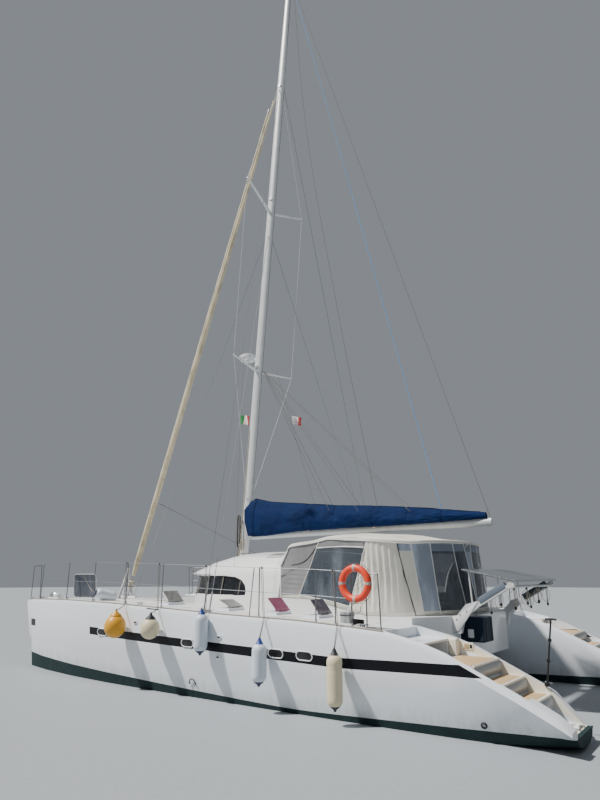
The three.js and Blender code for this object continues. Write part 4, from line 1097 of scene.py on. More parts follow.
@dataclass(frozen=True)
class Fender:
    """One fender: where it hangs, its size and its colours."""

    name: str
    x: float
    z: float
    radius: float
    skin: Skin
    tip: Skin
    foot: Skin
    length: float = 0.0
    ribs: float = 0.0

    @property
    def node(self) -> str:
        """The CAD node that it dresses."""
        return "fender_" + self.name

    @property
    def half(self) -> float:
        """Half its height without the eye."""
        return self.length / 2 or self.radius * 1.15


@dataclass
class Fenders:
    """The fenders over the port side, each a lathed body, its end fittings and its lanyard."""

    lead: float = 0.19
    rope: float = 0.007
    rail: float = 1.05
    neck: float = 0.4
    ALL = (
        Fender("yellow", 2.3, 1.47, 0.27, Skin.YELLOW, Skin.YELLOW, Skin.YELLOW),
        Fender("cream_round", 0.96, 1.48, 0.235, Skin.CREAM_VINYL, Skin.DARK_VINYL, Skin.CREAM_VINYL),
        Fender("white_fore", -0.715, 1.475, 0.16, Skin.WHITE_VINYL, Skin.BLUE_VINYL, Skin.NAVY_VINYL, 0.85),
        Fender("white_aft", -2.465, 0.965, 0.16, Skin.WHITE_VINYL, Skin.BLUE_VINYL, Skin.NAVY_VINYL, 0.8),
        Fender("cream_long", -4.345, 0.79, 0.153, Skin.CREAM_VINYL, Skin.DARK_VINYL, Skin.DARK_VINYL,
               0.97, 0.05),
    )

    def lanyard(self, piece: Piece, top: Vector, side: float) -> None:
        """Two parts of rope from the eye over the deck edge to the top wire, with a knot at each end."""
        x = top.x + self.lead
        wire = vec(x, side, deck_z(x) + self.rail)
        lip = vec(top.x, deck_edge(top.x) + 0.024, deck_z(top.x) - 0.02)
        piece.use(Skin.GREY_ROPE)
        for shift in (-0.016, 0.016):
            off = vec(shift, 0.0, 0.0)
            piece.straight([top + off * 0.4, lip + off, wire + off * 1.6], self.rope)
        knot = [(0.0, -0.03), (0.016, -0.028), (0.022, 0.0), (0.014, 0.03), (0.0, 0.034)]
        piece.lathe(knot, wire, (0.3, 0.2, 1), 12)
        knot = [(0.0, -0.035), (0.02, -0.03), (0.026, 0.01), (0.012, 0.05), (0.0, 0.055)]
        piece.lathe(knot, top, steps=12)

    def body(self, piece: Piece, fender: Fender, middle: Vector) -> None:
        """The blown body and the moulded fittings at its ends."""
        radius, half = fender.radius, fender.half
        tall = half - radius if fender.length else 0.0
        arc = [radians(7.5 * i) for i in range(25)]
        lower = [(radius * sin(a), -tall - radius * cos(a)) for a in arc[6 if fender.length else 0:12]]
        barrel = [(radius * (1.0 - fender.ribs * (i % 2) * (i > 14)), lerp(-tall, tall, (i + 1) / 20))
                  for i in range(19)]
        neck = radius * self.neck
        upper = [(radius * sin(a), tall + (half - tall) * -cos(a)) for a in arc[12:]]
        upper = [(r, h) for r, h in upper if r > neck]
        profile = [*lower, *(barrel if fender.length else []), *upper, (neck, half - radius * 0.06)]
        piece.lathe(profile, middle, steps=32)
        piece.use(fender.tip)
        piece.lathe([(neck * 1.4, half - radius * 0.14), (neck * 1.35, half - 0.02), (0.04, half + 0.06),
                     (0.03, half + 0.09), (0.0, half + 0.095)], middle, steps=20)
        piece.use(fender.foot)
        if fender.length:
            cone = ((0.69, 0.67), (0.725, 0.71), (0.62, 0.82), (0.42, 0.98), (0.24, 1.12))
            piece.lathe([*[(radius * r, -tall - radius * h) for r, h in cone], (0.02, -half - 0.055),
                         (0.0, -half - 0.058)], middle, steps=20)

    def build(self) -> None:
        """Makes them all."""
        for fender in self.ALL:
            low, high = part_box(fender.node)
            middle = vec(fender.x, high[1] - fender.radius, fender.z)
            piece = Piece(fender.node + "_dressed", fender.skin)
            self.body(piece, fender, middle)
            self.lanyard(piece, middle + vec(0, 0, fender.half + 0.08), low[1] + 0.015)
            piece.done(replaces=(fender.node,), angle=50)


def stadium(length: float, height: float, steps: int = 8) -> list[tuple[float, float]]:
    """Outline of a bar with half-round ends, about the origin."""
    reach, radius = (length - height) / 2, height / 2
    turns = [pi * (i / steps - 0.5) for i in range(steps + 1)]
    right = [(reach + radius * cos(a), radius * sin(a)) for a in turns]
    return [*right, *[(-x, -y) for x, y in right]]


def rounded(width: float, height: float, radius: float, steps: int = 4) -> list[tuple[float, float]]:
    """Outline of a rectangle with round corners, about the origin."""
    outline = []
    for turn, sx, sy in ((0, 1, 1), (1, -1, 1), (2, -1, -1), (3, 1, -1)):
        for i in range(steps + 1):
            angle = pi / 2 * (turn + i / steps)
            outline.append((sx * (width / 2 - radius) + radius * cos(angle),
                            sy * (height / 2 - radius) + radius * sin(angle)))
    return outline


@dataclass
class HullFittings:
    """Portlights, toe rail, outlets and grip panels, the same on both hulls."""

    port_length: float = 0.4
    port_height: float = 0.175
    ring: float = 0.013
    toe: float = 0.016
    panel: float = 0.004

    PORTS = ((3.29, 1.27), (-0.05, 1.2), (-2.72, 1.15), (-3.47, 1.155))
    OUTLETS = ((1.86, 1.589), (-1.1, 1.39), (-1.04, 0.958))
    OUTER = ((7.6, 5.7), (5.6, 3.1), (3.0, 1.1), (0.6, -0.2), (-0.9, -2.6), (-2.7, -4.1), (-4.2, -5.1))
    INNER = ((4.4, 2.4), (2.3, 0.1), (0.0, -2.2), (-2.3, -4.5))
    MIDDLE = ((4.4, 2.1), (1.4, -0.1), (-0.75, -1.6), (-2.25, -2.8), (-3.45, -4.6))

    def __post_init__(self) -> None:
        """Takes hold of the hull's surface."""
        self.hull = Probe("hull_port")

    def on_side(self, piece: Piece, x: float, z: float) -> Piece:
        """Puts the place on the hull's side, its Z axis outwards."""
        where, normal = self.hull.side(x, z)
        return piece.put(where, (1, 0, 0), normal)

    def portlights(self) -> None:
        """Dark glass in white rings."""
        piece = Piece("portlights", Skin.WHITE_PLASTIC)
        for x, z in self.PORTS:
            piece.use(Skin.WHITE_PLASTIC)
            path = [(a, b, 0.004) for a, b in stadium(self.port_length, self.port_height)]
            self.on_side(piece, x, z).straight(path, self.ring, sides=2, closed=True)
            piece.use(Skin.PORTLIGHT)
            piece.slab(stadium(self.port_length, self.port_height), 0.026, 0.002, base=-0.02)
            piece.use(Skin.BLACK)
            for shift in (-0.11, 0.11):
                piece.ball((shift, -0.05, 0.006), (0.012, 0.009, 0.006), 10, 6)
        piece.mirrored().done()

    def outlets(self) -> None:
        """Skin fittings, the exhaust and a hose end low on the side."""
        piece = Piece("hull_outlets", Skin.WHITE_PLASTIC)
        for x, z in self.OUTLETS:
            piece.use(Skin.WHITE_PLASTIC)
            self.on_side(piece, x, z).slab(stadium(0.16, 0.1), 0.022, 0.008, base=-0.006)
            # The black plate on each fitting stands for its opening: painted shade in the hole.
            piece.use(Skin.RUBBER).slab(stadium(0.085, 0.035), 0.003, base=0.016)
        piece.use(Skin.DARK_VINYL)
        self.on_side(piece, -0.15, 0.316)
        arc = [(0.1 * cos(a), -0.1 * sin(a), 0.03) for a in (pi * i / 10 for i in range(11))]
        piece.tube([(0.1, 0.0, -0.01), *arc, (-0.1, 0.0, -0.01)], 0.012)
        self.on_side(piece, -7.08, 0.29)
        cone = [(0.0, -0.02), (0.036, -0.02), (0.036, 0.03), (0.052, 0.03), (0.058, 0.0)]
        piece.lathe(cone, steps=20)
        piece.mirrored().done()

    def toe_rail(self) -> None:
        """A grey moulding along the deck edge, and the dark fairlead bar beside the shrouds."""
        piece = Piece("toe_rails", Skin.TOE)
        stops = evenly(8.35, -5.3, 60)
        piece.tube([(x, deck_edge(x) - 0.078, deck_z(x) + 0.003) for x in stops], self.toe)
        piece.use(Skin.DARK_VINYL)
        path = [self.hull.side(x, deck_z(x) - 0.04)[0] + vec(0, 0.006, 0) for x in (1.44, 1.2, 0.97)]
        piece.tube(path, 0.013)
        piece.mirrored().done()

    def grip(self) -> None:
        """Grip panels laid on the deck between its smooth margins."""
        piece = Piece("deck_grip", Skin.DECK)
        strips = [(a, b, lambda x: deck_edge(x) - 0.62, lambda x: deck_edge(x) - 0.17)
                  for a, b in self.OUTER]
        strips += [(a, b, lambda x: 2.82, lambda x: 3.08) for a, b in self.INNER]
        strips += [(a, b, lambda x: 3.15, lambda x: 3.82) for a, b in self.MIDDLE]
        for fore, rear, inner, outer in strips:
            def at(u: float, v: float, a: float = fore, b: float = rear, low: Callable = inner,
                   high: Callable = outer) -> Point:
                """A point on the panel, its corners cut back."""
                x = lerp(a, b, u)
                cut = 0.04 * max(0.0, 1 - min(u, 1 - u) * abs(a - b) / 0.05)
                return x, lerp(low(x) + cut, high(x) - cut, v), deck_z(x) + self.panel
            piece.surface(at, max(8, round(abs(fore - rear) / 0.05)), 2)
        piece.mirrored().done(closed=False)

    def build(self) -> None:
        """All of them."""
        self.portlights()
        self.outlets()
        self.toe_rail()
        self.grip()


@dataclass
class SternSteps:
    """Teak treads, rounded risers and fittings of the steps down each stern."""

    inner: float = 3.0
    teak: float = 0.007

    TREADS = ((-6.25, -6.94, 1.22, 4.33), (-7.07, -7.39, 0.94, 4.32), (-7.52, -7.83, 0.68, 4.24))
    RISERS = ((-6.99, 1.22, 0.94, 4.38), (-7.44, 0.94, 0.68, 4.36), (-7.88, 0.68, 0.24, 4.06))

    def treads(self, piece: Piece) -> None:
        """Teak panels with rounded corners."""
        for fore, rear, z, outer in self.TREADS:
            middle = ((fore + rear) / 2, (self.inner + 0.05 + outer) / 2, z + 0.0005)
            piece.use(Skin.CREAM_GELCOAT)
            piece.put(middle).slab(rounded(fore - rear + 0.03, outer - self.inner - 0.02, 0.04), 0.003)
            piece.use(Skin.TEAK)
            piece.slab(rounded(fore - rear, outer - self.inner - 0.05, 0.03), self.teak, 0.002)
        piece.put()

    def risers(self, piece: Piece) -> None:
        """Grey rolls under white lips; their grey stands partly for the shade on these aft-facing risers,
        painted in.
        """
        for x, top, low, outer in self.RISERS:
            drop = top - low
            roll = [(x + 0.004, -top + 0.012)]
            roll += [(x - 0.062 * sin(pi * t) ** 0.7, -top + 0.012 + t * min(drop - 0.015, 0.25))
                     for t in (i / 12 for i in range(1, 12))]
            roll.append((x + 0.004, -top + 0.012 + min(drop - 0.015, 0.25)))
            piece.use(Skin.GREY_RISER).put((0, self.inner + 0.004, 0), (1, 0, 0), (0, 1, 0))
            piece.slab(roll, outer - self.inner - 0.008)
            piece.put().use(Skin.CREAM_GELCOAT)
            lip = [(x - 0.012, y, top - 0.008) for y in (self.inner + 0.01, outer - 0.01)]
            piece.straight(lip, 0.021, sides=3)

    def walls(self, piece: Piece) -> None:
        """The rounded pillar of the landing's locker and the vent on the inboard wall."""
        piece.use(Skin.CREAM_GELCOAT).box((-6.235, self.inner, 1.221), (-6.052, 3.17, 1.545), 0.035, 4)
        piece.box((-6.51, self.inner - 0.01, 1.325), (-6.3, 3.014, 1.465), 0.008)
        # The black block on the vent's plate stands for its dark hole: painted shade.
        piece.use(Skin.RUBBER).box((-6.485, 3.0, 1.36), (-6.435, 3.018, 1.43), 0.002)
        piece.use(Skin.BEIGE).box((-6.42, 3.0, 1.345), (-6.32, 3.018, 1.445), 0.004)

    def build(self) -> None:
        """Both sterns alike; the boarding pole and the folded ladder are on the port one."""
        piece = Piece("stern_steps", Skin.CREAM_GELCOAT)
        self.treads(piece)
        self.risers(piece)
        self.walls(piece)
        piece.mirrored().done()
        self.pole()
        self.ladder()

    def pole(self) -> None:
        """Dark pole with a T handle, in two clamps."""
        foot, head = vec(-7.84, 3.0, 0.8), vec(-8.03, 3.0, 1.955)
        piece = Piece("boarding_pole", Skin.BLACK)
        piece.rod(foot, head, 0.017)
        piece.tube([(-7.93, 3.0, 1.96), (-8.03, 3.0, 1.966), (-8.13, 3.0, 1.957)], 0.019, sides=2)
        for share, radius in ((0.38, 0.034), (0.69, 0.034), (0.03, 0.05)):
            profile = [(0.017, -0.03), (radius, -0.024), (radius, 0.024), (0.017, 0.03)]
            piece.lathe(profile, lerp(foot, head, share), head - foot, 14)
        piece.use(Skin.STEEL)
        piece.tube([(-7.92, 2.94, 0.86), (-7.86, 2.985, 0.87), (-7.8, 2.94, 0.88)], 0.011)
        piece.done()

    def ladder(self) -> None:
        """White ladder folded down on the platform, in its hinges."""
        piece = Piece("boarding_ladder", Skin.WHITE_PLASTIC)
        for y in (3.16, 3.46):
            piece.tube([(-7.93, y, 0.285), (-8.16, y, 0.28), (-8.42, y, 0.275)], 0.017, sides=2)
        for i in range(4):
            x = -7.97 - 0.13 * i
            piece.box((x - 0.035, 3.17, 0.268), (x + 0.035, 3.45, 0.29), 0.008)
        piece.use(Skin.STEEL)
        for y in (3.16, 3.46):
            piece.box((-8.44, y - 0.03, 0.24), (-8.38, y + 0.03, 0.262), 0.004)
            piece.box((-7.96, y - 0.03, 0.24), (-7.9, y + 0.03, 0.268), 0.004)
        piece.done()


@dataclass
class SailCover:
    """Blue cover over the stowed mainsail, with its collar round the mast."""

    ties: tuple[float, ...] = (-0.43, -1.45, -2.755, -3.8, -4.8)

    ROWS = ((1.86, 5.06, 0.1, 4.1), (1.8, 5.14, 0.17, 4.02), (1.7, 5.17, 0.21, 3.94),
            (1.08, 5.03, 0.27, 3.95), (0.4, 4.95, 0.29, 4.0), (-0.1, 4.9, 0.3, 4.04),
            (-1.56, 4.74, 0.29, 4.06), (-2.8, 4.65, 0.27, 4.06), (-4.37, 4.49, 0.23, 4.08),
            (-5.4, 4.35, 0.18, 4.11), (-5.95, 4.29, 0.08, 4.13))
    SECTION = ((0.0, 0.0, 0.02), (0.12, 0.42, 0.0), (0.22, 0.74, 0.0), (0.32, 0.92, 0.1),
               (0.45, 1.0, 0.28), (0.55, 0.98, 0.45), (0.66, 0.86, 0.62), (0.76, 0.68, 0.77),
               (0.86, 0.44, 0.9), (0.94, 0.18, 0.98), (1.0, 0.0, 1.0))
    CHEEK = ((0.0, 1.93), (-0.2, 2.0), (-0.45, 2.09), (-0.75, 2.1), (-1.0, 1.97))

    def point(self, u: float, v: float) -> Vector:
        """A point of the skin: u from the mast aft, v round it from below up the port side and down."""
        x = lerp(1.86, -5.95, u ** 1.15)
        top, half, under = along(self.ROWS, x)
        turn = 1 - abs(2 * v - 1)
        rows = [(-a, b, c) for a, b, c in self.SECTION]
        wide, high = along(rows, -turn)
        side = 1 if v < 0.5 else -1
        pull = sum(exp(-((x - tie) / 0.07) ** 2) for tie in self.ties)
        body = min(1.0, turn * 4) * min(1.0, u * 12) * min(1.0, (1 - u) * 12)
        drag = sin(x * 7.0 + high * 4.0 + 2.2 * noise.noise(vec(x * 1.3, side * 2.0, 0.0)))
        swell = ripple((x, side * 3.0, high * 2), 1.3, 0.045)
        swell += ripple((x * 2.4, side * 5.0, high * 4), 2.0, 0.022)
        out = body * (swell + 0.01 * drag * high - 0.014 * pull)
        z = lerp(under, top, high) - (0.012 * pull * high if turn > 0.8 else 0.0)
        return vec(x, side * (half * wide + out), z + out * 0.25 * (1 - high))

    def cover(self) -> None:
        """The stuffed skin, sewn along its top, drawn in at each tie."""
        piece = Piece("sail_cover_skin", Skin.BLUE_CANVAS)
        piece.surface(self.point, 220, 56)
        for u in (0.0, 1.0):
            rim = [piece.shape.verts.new(self.point(u, i / 56)) for i in range(56)]
            piece.shape.faces.new(rim)
        bmesh.ops.remove_doubles(piece.shape, verts=piece.shape.verts, dist=0.001)
        skin = piece.done(body="boom", replaces=("sail_cover",), angle=60)

    def trim(self) -> None:
        """Webbing ties, the zip along the top and white knots under the boom."""
        piece = Piece("sail_cover_ties", Skin.BLUE_CANVAS)
        for tie in self.ties:
            u = ((1.86 - tie) / 7.81) ** (1 / 1.15)
            piece.tube([self.point(u, v / 30) for v in range(31)], 0.008)
        for mark in (1, -1):
            seam = [self.point(0.045, 0.5 - mark * (0.5 - lerp(0.11, 0.498, i / 20))) for i in range(21)]
            piece.tube(seam, 0.009)
        piece.use(Skin.NAVY_CANVAS)
        piece.tube([self.point(i / 60, 0.5) + vec(0, 0, 0.003) for i in range(1, 60)], 0.011)
        piece.use(Skin.ROPE)
        for x in (-0.43, -2.755):
            spot = vec(x, 0.115, 4.055)
            piece.ball(spot, (0.045, 0.03, 0.03), 12, 8)
            for reach, fall in ((0.13, 0.07), (-0.12, 0.09), (0.05, 0.1)):
                piece.tube([spot, spot + vec(reach * 0.6, 0.02, -fall * 0.3), spot + vec(reach, 0.0, -fall)],
                           0.008)
        piece.done(body="boom")

    def collar(self) -> None:
        """Two cheeks that reach from the cover round the mast."""
        piece = Piece("sail_cover_collar", Skin.BLUE_CANVAS)

        def cheek(u: float, v: float) -> Vector:
            """u from the front edge aft to the cover's skin, v from the foot up."""
            edge = along(self.CHEEK, -v)[0]
            front = vec(edge, lerp(0.13, 0.04, max(0.0, v * 4 - 3)), lerp(3.985, 5.08, v))
            skin = self.point(0.045, lerp(0.11, 0.498, v))
            skin += vec(0.0, 0.003, 0.003 * v)
            out = ripple((u * 3, 1, v * 5), 1.3, 0.014) * sin(pi * u)
            return lerp(front, skin, u ** 0.85) + vec(0, out + 0.03 * sin(pi * u) * (1 - v), 0)
        piece.surface(cheek, 14, 30)
        piece.mirrored()
        skin = piece.cloth((1.0, 1.02), "hung", ["mast", "sail_cover_skin"], 0.004, 1.0, cut=False,
                           body=None, angle=60)
        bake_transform(skin)

    def build(self) -> None:
        """Cover, ties and collar."""
        self.cover()
        self.trim()
        self.collar()


@dataclass
class RunningRigging:
    """Lines from the mast to the boom, which swing with it, and the flags and genoa sheets."""

    hinge: Point = (1.92, 0.0, 3.96)
    flag: tuple[float, float] = (0.42, 0.3)

    def boom_lines(self) -> None:
        """Topping lift, halyards, lazy jacks and reef tails."""
        piece = Piece("boom_lines", Skin.GREY_ROPE)
        head = raked(self.hinge, 26.3)
        piece.straight([head, vec(-6.05, 0.0, 4.15)], 0.008)
        piece.tube([head, vec(-0.35, 0, 19.0), vec(-1.55, 0, 11.4), vec(-2.81, 0.0, 4.66)], 0.007)
        piece.use(Skin.BLUE_ROPE)
        piece.straight([raked(self.hinge, 26.2), vec(-4.75, 0.0, 4.45)], 0.01)
        piece.use(Skin.GREY_ROPE)
        split = raked(self.hinge, 9.6)
        for side in (1, -1):
            for x, z in ((-1.3, 4.6), (-2.3, 4.5), (-3.93, 4.4)):
                piece.straight([split + vec(0, side * 0.03, 0), (x, side * 0.19, z)], 0.006)
        piece.use(Skin.ROPE)
        for x in (-5.55, -5.72):
            piece.tube([(x, 0.02, 4.02), (x - 0.12, 0.05, 4.16), (x - 0.28, 0.0, 4.08)], 0.01)
        piece.done(body="boom")

    def sheets(self) -> None:
        """Genoa sheets from the rolled sail to the coachroof's corners, and flag halyards."""
        piece = Piece("genoa_sheets", Skin.GREY_ROPE)
        for side in (1, -1):
            piece.straight([(6.55, side * 0.07, 5.35), (1.9, side * 2.42, 2.8)], 0.009)
            piece.straight([(1.62, side * 0.9, 9.85), (0.3, side * 2.55, 2.72)], 0.004)
        piece.done()

    def flags(self) -> None:
        """Two small striped flags on their halyards."""
        wide, tall = self.flag
        rows = (("flag_port", (1.05, 1.6, 7.3), (Skin.FLAG_GREEN, Skin.FLAG_WHITE, Skin.FLAG_RED)),
                ("flag_starboard", (1.2, -1.35, 7.9), (Skin.FLAG_WHITE, Skin.FLAG_RED)))
        for name, corner, bands in rows:
            piece = Piece(name, bands[0])
            corner = Vector(corner)
            for i, skin in enumerate(bands):
                piece.use(skin)

                def at(u: float, v: float, first: int = i, count: int = len(bands)) -> Point:
                    """A point of one stripe; the flag droops from its hoist."""
                    s = (first + u) / count
                    droop = 0.35 * s * tall
                    return corner + vec(-wide * s * 0.9, 0.05 * sin(s * 7.0 + v * 2.0), v * tall - droop)
                piece.surface(at, 8, 10)
            bmesh.ops.remove_doubles(piece.shape, verts=piece.shape.verts, dist=0.0005)
            piece.cloth(self.flag, "hung", ["genoa_sheets"], 0.001, cut=False, angle=60)

    def build(self) -> None:
        """Lines and flags."""
        self.boom_lines()
        self.sheets()
        self.flags()


@dataclass
class HouseTrim:
    """Window frames, mullions and the roof hatch of the saloon house."""

    nose_start: float = 0.3
    BAND = ((3.0, 2.24), (2.2, 2.24), (1.2, 2.24), (0.06, 2.24), (-0.28, 2.25), (-0.29, 2.33),
            (-0.225, 2.48), (-0.07, 2.61), (0.17, 2.69), (0.6, 2.72), (1.2, 2.723), (2.2, 2.728),
            (3.0, 2.732))

    def skin(self, x: float, z: float) -> Vector:
        """A point of the house's side at x and z."""
        half = lerp(2.7497, 2.62, (z - 2.22) / 0.515)
        nose = lerp(3.22, 3.16, (z - 2.22) / 0.515)
        share = min(1.0, max(0.0, (x - self.nose_start) / (nose - self.nose_start)))
        return vec(x, half * sqrt(1 - share ** 2), z)

    def window(self) -> None:
        """Black rubber round each side window, and thin bronze mullions."""
        piece = Piece("window_trim", Skin.RUBBER)
        piece.straight([self.skin(x, z) + vec(0, -0.004, 0) for x, z in self.BAND], 0.014)
        piece.use(Skin.MULLION)
        for x, wide in ((-0.04, 0.014), (0.62, 0.016), (1.32, 0.02), (1.95, 0.02)):
            top = 2.6 if x < 0 else 2.7
            foot, head = self.skin(x, 2.262), self.skin(x, top)
            piece.rod(foot - vec(0, 0.014, 0), head - vec(0, 0.014, 0), wide, sides=6)
        piece.mirrored().done(angle=50)

    def hatch(self) -> None:
        """Smoked hatch in a low white frame on each shoulder of the roof."""
        house = Probe("saloon_house")
        middle = house.top(-0.82, 2.02)
        ahead = house.top(-0.6, 2.02) - middle
        across = house.top(-0.82, 2.12) - middle
        piece = Piece("roof_hatches", Skin.WHITE_PLASTIC)
        piece.put(middle, ahead, ahead.cross(across))
        piece.slab(rounded(0.56, 0.46, 0.05), 0.035, 0.01, base=-0.02)
        piece.use(Skin.TINT_GREY).slab(rounded(0.47, 0.37, 0.035), 0.006, 0.002, base=0.013)
        piece.mirrored().done()

    def build(self) -> None:
        """Window trim and hatches."""
        self.window()
        self.hatch()


@dataclass
class HatchLids:
    """White rims and black knobs of the deck hatches, which swing with their lids."""

    y: float = 3.45
    lap: float = 0.024
    length: float = 0.393
    width: float = 0.528
    rise: float = 0.0726

    ROWS = ((1.57, 43), (-0.6, 24), (-2.08, 45), (-3.275, 50))

    def build(self) -> None:
        """One piece a lid."""
        for number, (x, opened) in enumerate(self.ROWS, 1):
            angle = radians(opened)
            ahead = (cos(angle), 0, sin(angle))
            up = (-sin(angle), 0, cos(angle))
            for name, sign in SIDES.items():
                hinge = (x - self.lap, sign * self.y, deck_z(x) + self.rise)
                piece = Piece(f"hatch_rim_{name}_{number}", Skin.WHITE_PLASTIC)
                piece.put(hinge, ahead, up)
                rim = [(self.length / 2 + 0.022 + a, b, 0.012)
                       for a, b in rounded(self.length - 0.04, self.width, 0.03)]
                piece.straight(rim, 0.0125, sides=2, closed=True)
                piece.use(Skin.BLACK)
                for side in (-1, 1):
                    spot = (self.length - 0.06, side * 0.14, -0.004)
                    piece.lathe([(0.0, -0.02), (0.016, -0.018), (0.02, 0.0), (0.014, 0.006)], spot, steps=14)
                    piece.tube([spot, (self.length - 0.06, side * 0.09, -0.02)], 0.006)
                piece.done(body=f"hatch_lid_{name}_{number}")


@dataclass
class LifeRing:
    """Tape bands and grab line of the life ring."""

    centre: Point = (-4.74, 4.5183, 2.59)
    radius: float = 0.3
    tube: float = 0.072

    def spot(self, degrees: float, radius: float, out: float = 0.0) -> Vector:
        """A point round the ring, at an angle from its top towards the bow."""
        angle = radians(degrees)
        return Vector(self.centre) + vec(radius * sin(angle), out, radius * cos(angle))

    def build(self) -> None:
        """Four bands, and a line held by them that sags between."""
        piece = Piece("ring_bands", Skin.BAND)
        for middle in (0, 90, 180, 270):
            arc = [self.spot(middle + step, self.radius) for step in (-5, -2.5, 0, 2.5, 5)]
            piece.tube(arc, self.tube + 0.0025, sides=5)
        piece.use(Skin.GREY_ROPE)
        line = []
        for quarter in range(4):
            for step in range(6):
                degrees = 90 * quarter + 15 * step
                slack = 0.03 * sin(pi * step / 6)
                line.append(self.spot(degrees, self.radius + self.tube + 0.006 + slack, 0.01))
        piece.tube(line, 0.0055, closed=True)
        foot = self.spot(180, self.radius + self.tube)
        piece.tube([foot, foot + vec(0.1, 0.0, -0.07), foot + vec(0.06, -0.03, -0.19),
                    foot + vec(-0.06, -0.03, -0.19), foot + vec(-0.12, 0.0, -0.06)], 0.006)
        piece.done()


def cushion(piece: Piece, low: Point, high: Point, square: float = 0.22) -> None:
    """Adds a crowned cushion between two corners: an ellipsoid squared off towards its box."""
    low, high = Vector(low), Vector(high)
    middle, half = (low + high) / 2, (high - low) / 2

    def squared(value: float, power: float) -> float:
        """A power of a number that keeps its sign."""
        return copysign(abs(value) ** power, value)

    def at(u: float, v: float) -> Vector:
        """u goes round the cushion, v from below to above."""
        turn, rise = tau * u, pi * (v - 0.5)
        reach = squared(cos(rise), 0.35)
        swell = 1 + 0.02 * noise.noise(vec(u * 9, v * 5, low.x * 3))
        return middle + vec(half.x * reach * squared(cos(turn), square) * swell,
                                half.y * reach * squared(sin(turn), square) * swell,
                                half.z * squared(sin(rise), 0.55))
    piece.surface(at, 64, 16)


@dataclass
class GenoaWrap:
    """The outer turn of the rolled headsail, whose edge winds up the stay."""

    foot: Point = (7.86, 0.0, 2.125)
    top: Point = (1.158, 0.0, 21.4)
    low: float = 0.031
    high: float = 0.95
    turns: float = 15.0
    edge: float = 0.006

    RADII = ((-0.03, 0.06), (-0.06, 0.097), (-0.5, 0.088), (-0.955, 0.049))

    @property
    def stay(self) -> Vector:
        """The way up the stay."""
        return (Vector(self.top) - Vector(self.foot)).normalized()

    def up(self, t: float) -> Vector:
        """The point at share t of the stay."""
        return lerp(Vector(self.foot), Vector(self.top), t)

    def point(self, u: float, v: float) -> Vector:
        """u up the stay, v once round it."""
        t = lerp(self.low, self.high, u)
        radius = along(self.RADII, -t)[0] + self.edge * v
        radius += ripple((t * 60, v * 3, 0), 1.0, 0.005) * sin(pi * v)
        angle = tau * (v * 0.995 + self.turns * u)
        side = vec(0, 1, 0)
        front = side.cross(self.stay)
        return self.up(t) + radius * (cos(angle) * side + sin(angle) * front)

    def build(self) -> None:
        """One sheet, the drum's rims, the swivel above and the furling line."""
        piece = Piece("genoa_wrap", Skin.SAILCLOTH)
        piece.surface(self.point, 420, 20)
        piece.cloth((17.9, 0.6), "stretched", ["forestay_genoa"], 0.002, angle=60)
        gear = Piece("furling_gear", Skin.BLACK)
        for t in (0.0125, 0.0195):
            rim = [(0.02, -0.008), (0.112, -0.008), (0.116, 0.0), (0.112, 0.008), (0.02, 0.008)]
            gear.lathe(rim, self.up(t), self.stay, 32)
        gear.use(Skin.ROPE)
        middle = self.up(0.016)
        drum = [(0.06, -0.05), (0.108, -0.045), (0.11, 0.0), (0.108, 0.045), (0.06, 0.05)]
        gear.lathe(drum, middle, self.stay, 32)
        gear.use(Skin.BARE_ALLOY)
        for t in (0.026, 0.9555):
            swivel = [(0.02, -0.09), (0.045, -0.085), (0.05, 0.0), (0.045, 0.085), (0.02, 0.09)]
            gear.lathe(swivel, self.up(t), self.stay, 20)
        gear.straight([middle + vec(-0.1, 0.04, 0), (6.2, 0.25, 2.02), (4.9, 0.23, 1.99)], 0.005)
        gear.done()


@dataclass
class Nets:
    """Trampolines laced between the hulls, the walkway and the beam."""

    fore: float = 7.9
    rear: float = 4.73
    inner: float = 0.27
    z: float = 1.917
    gap: float = 0.05

    def outer(self, x: float) -> float:
        """Where the net ends beside the hull."""
        found = self.hull.tree.ray_cast(vec(x, 0.5, self.z), vec(0, 1, 0))[0]
        return (found.y if found else 3.3) - self.gap

    def build(self) -> None:
        """Net and lacing on both sides."""
        self.hull = Probe("hull_port")
        edges = [self.outer(lerp(self.fore, self.rear, i / 40)) for i in range(41)]
        for name, sign in SIDES.items():
            def at(u: float, v: float, s: int = sign) -> Point:
                """u aft, v outboard; the net sags a little."""
                place = u * 40
                index = min(39, int(place))
                reach = lerp(edges[index], edges[index + 1], place - index)
                dip = 0.03 * sin(pi * u) * sin(pi * v)
                return lerp(self.fore, self.rear, u), s * lerp(self.inner, reach, v), self.z - dip
            piece = Piece("trampoline_" + name, Skin.NET)
            piece.surface(at, 40, 30)
            piece.cloth((3.2, 3.1), "stretched", ["front_beam", "centre_walkway", "hull_" + name], 0.003,
                        replaces=("net_" + name,))
            lacing = Piece("net_lacing_" + name, Skin.ROPE)
            for v, out in ((1.0, self.gap), (0.0, -0.03)):
                line = []
                for i in range(121):
                    x, y, z = at(i / 120, v)
                    line.append((x, y + (sign * out if i % 2 else 0.0), z + 0.004))
                lacing.straight(line, 0.004)
                lacing.straight([Vector(at(i / 60, v)) + vec(0, 0, 0.002) for i in range(61)], 0.009)
            for u in (0.0, 1.0):
                lacing.straight([Vector(at(u, i / 30)) + vec(0, 0, 0.002) for i in range(31)], 0.009)
            lacing.done()


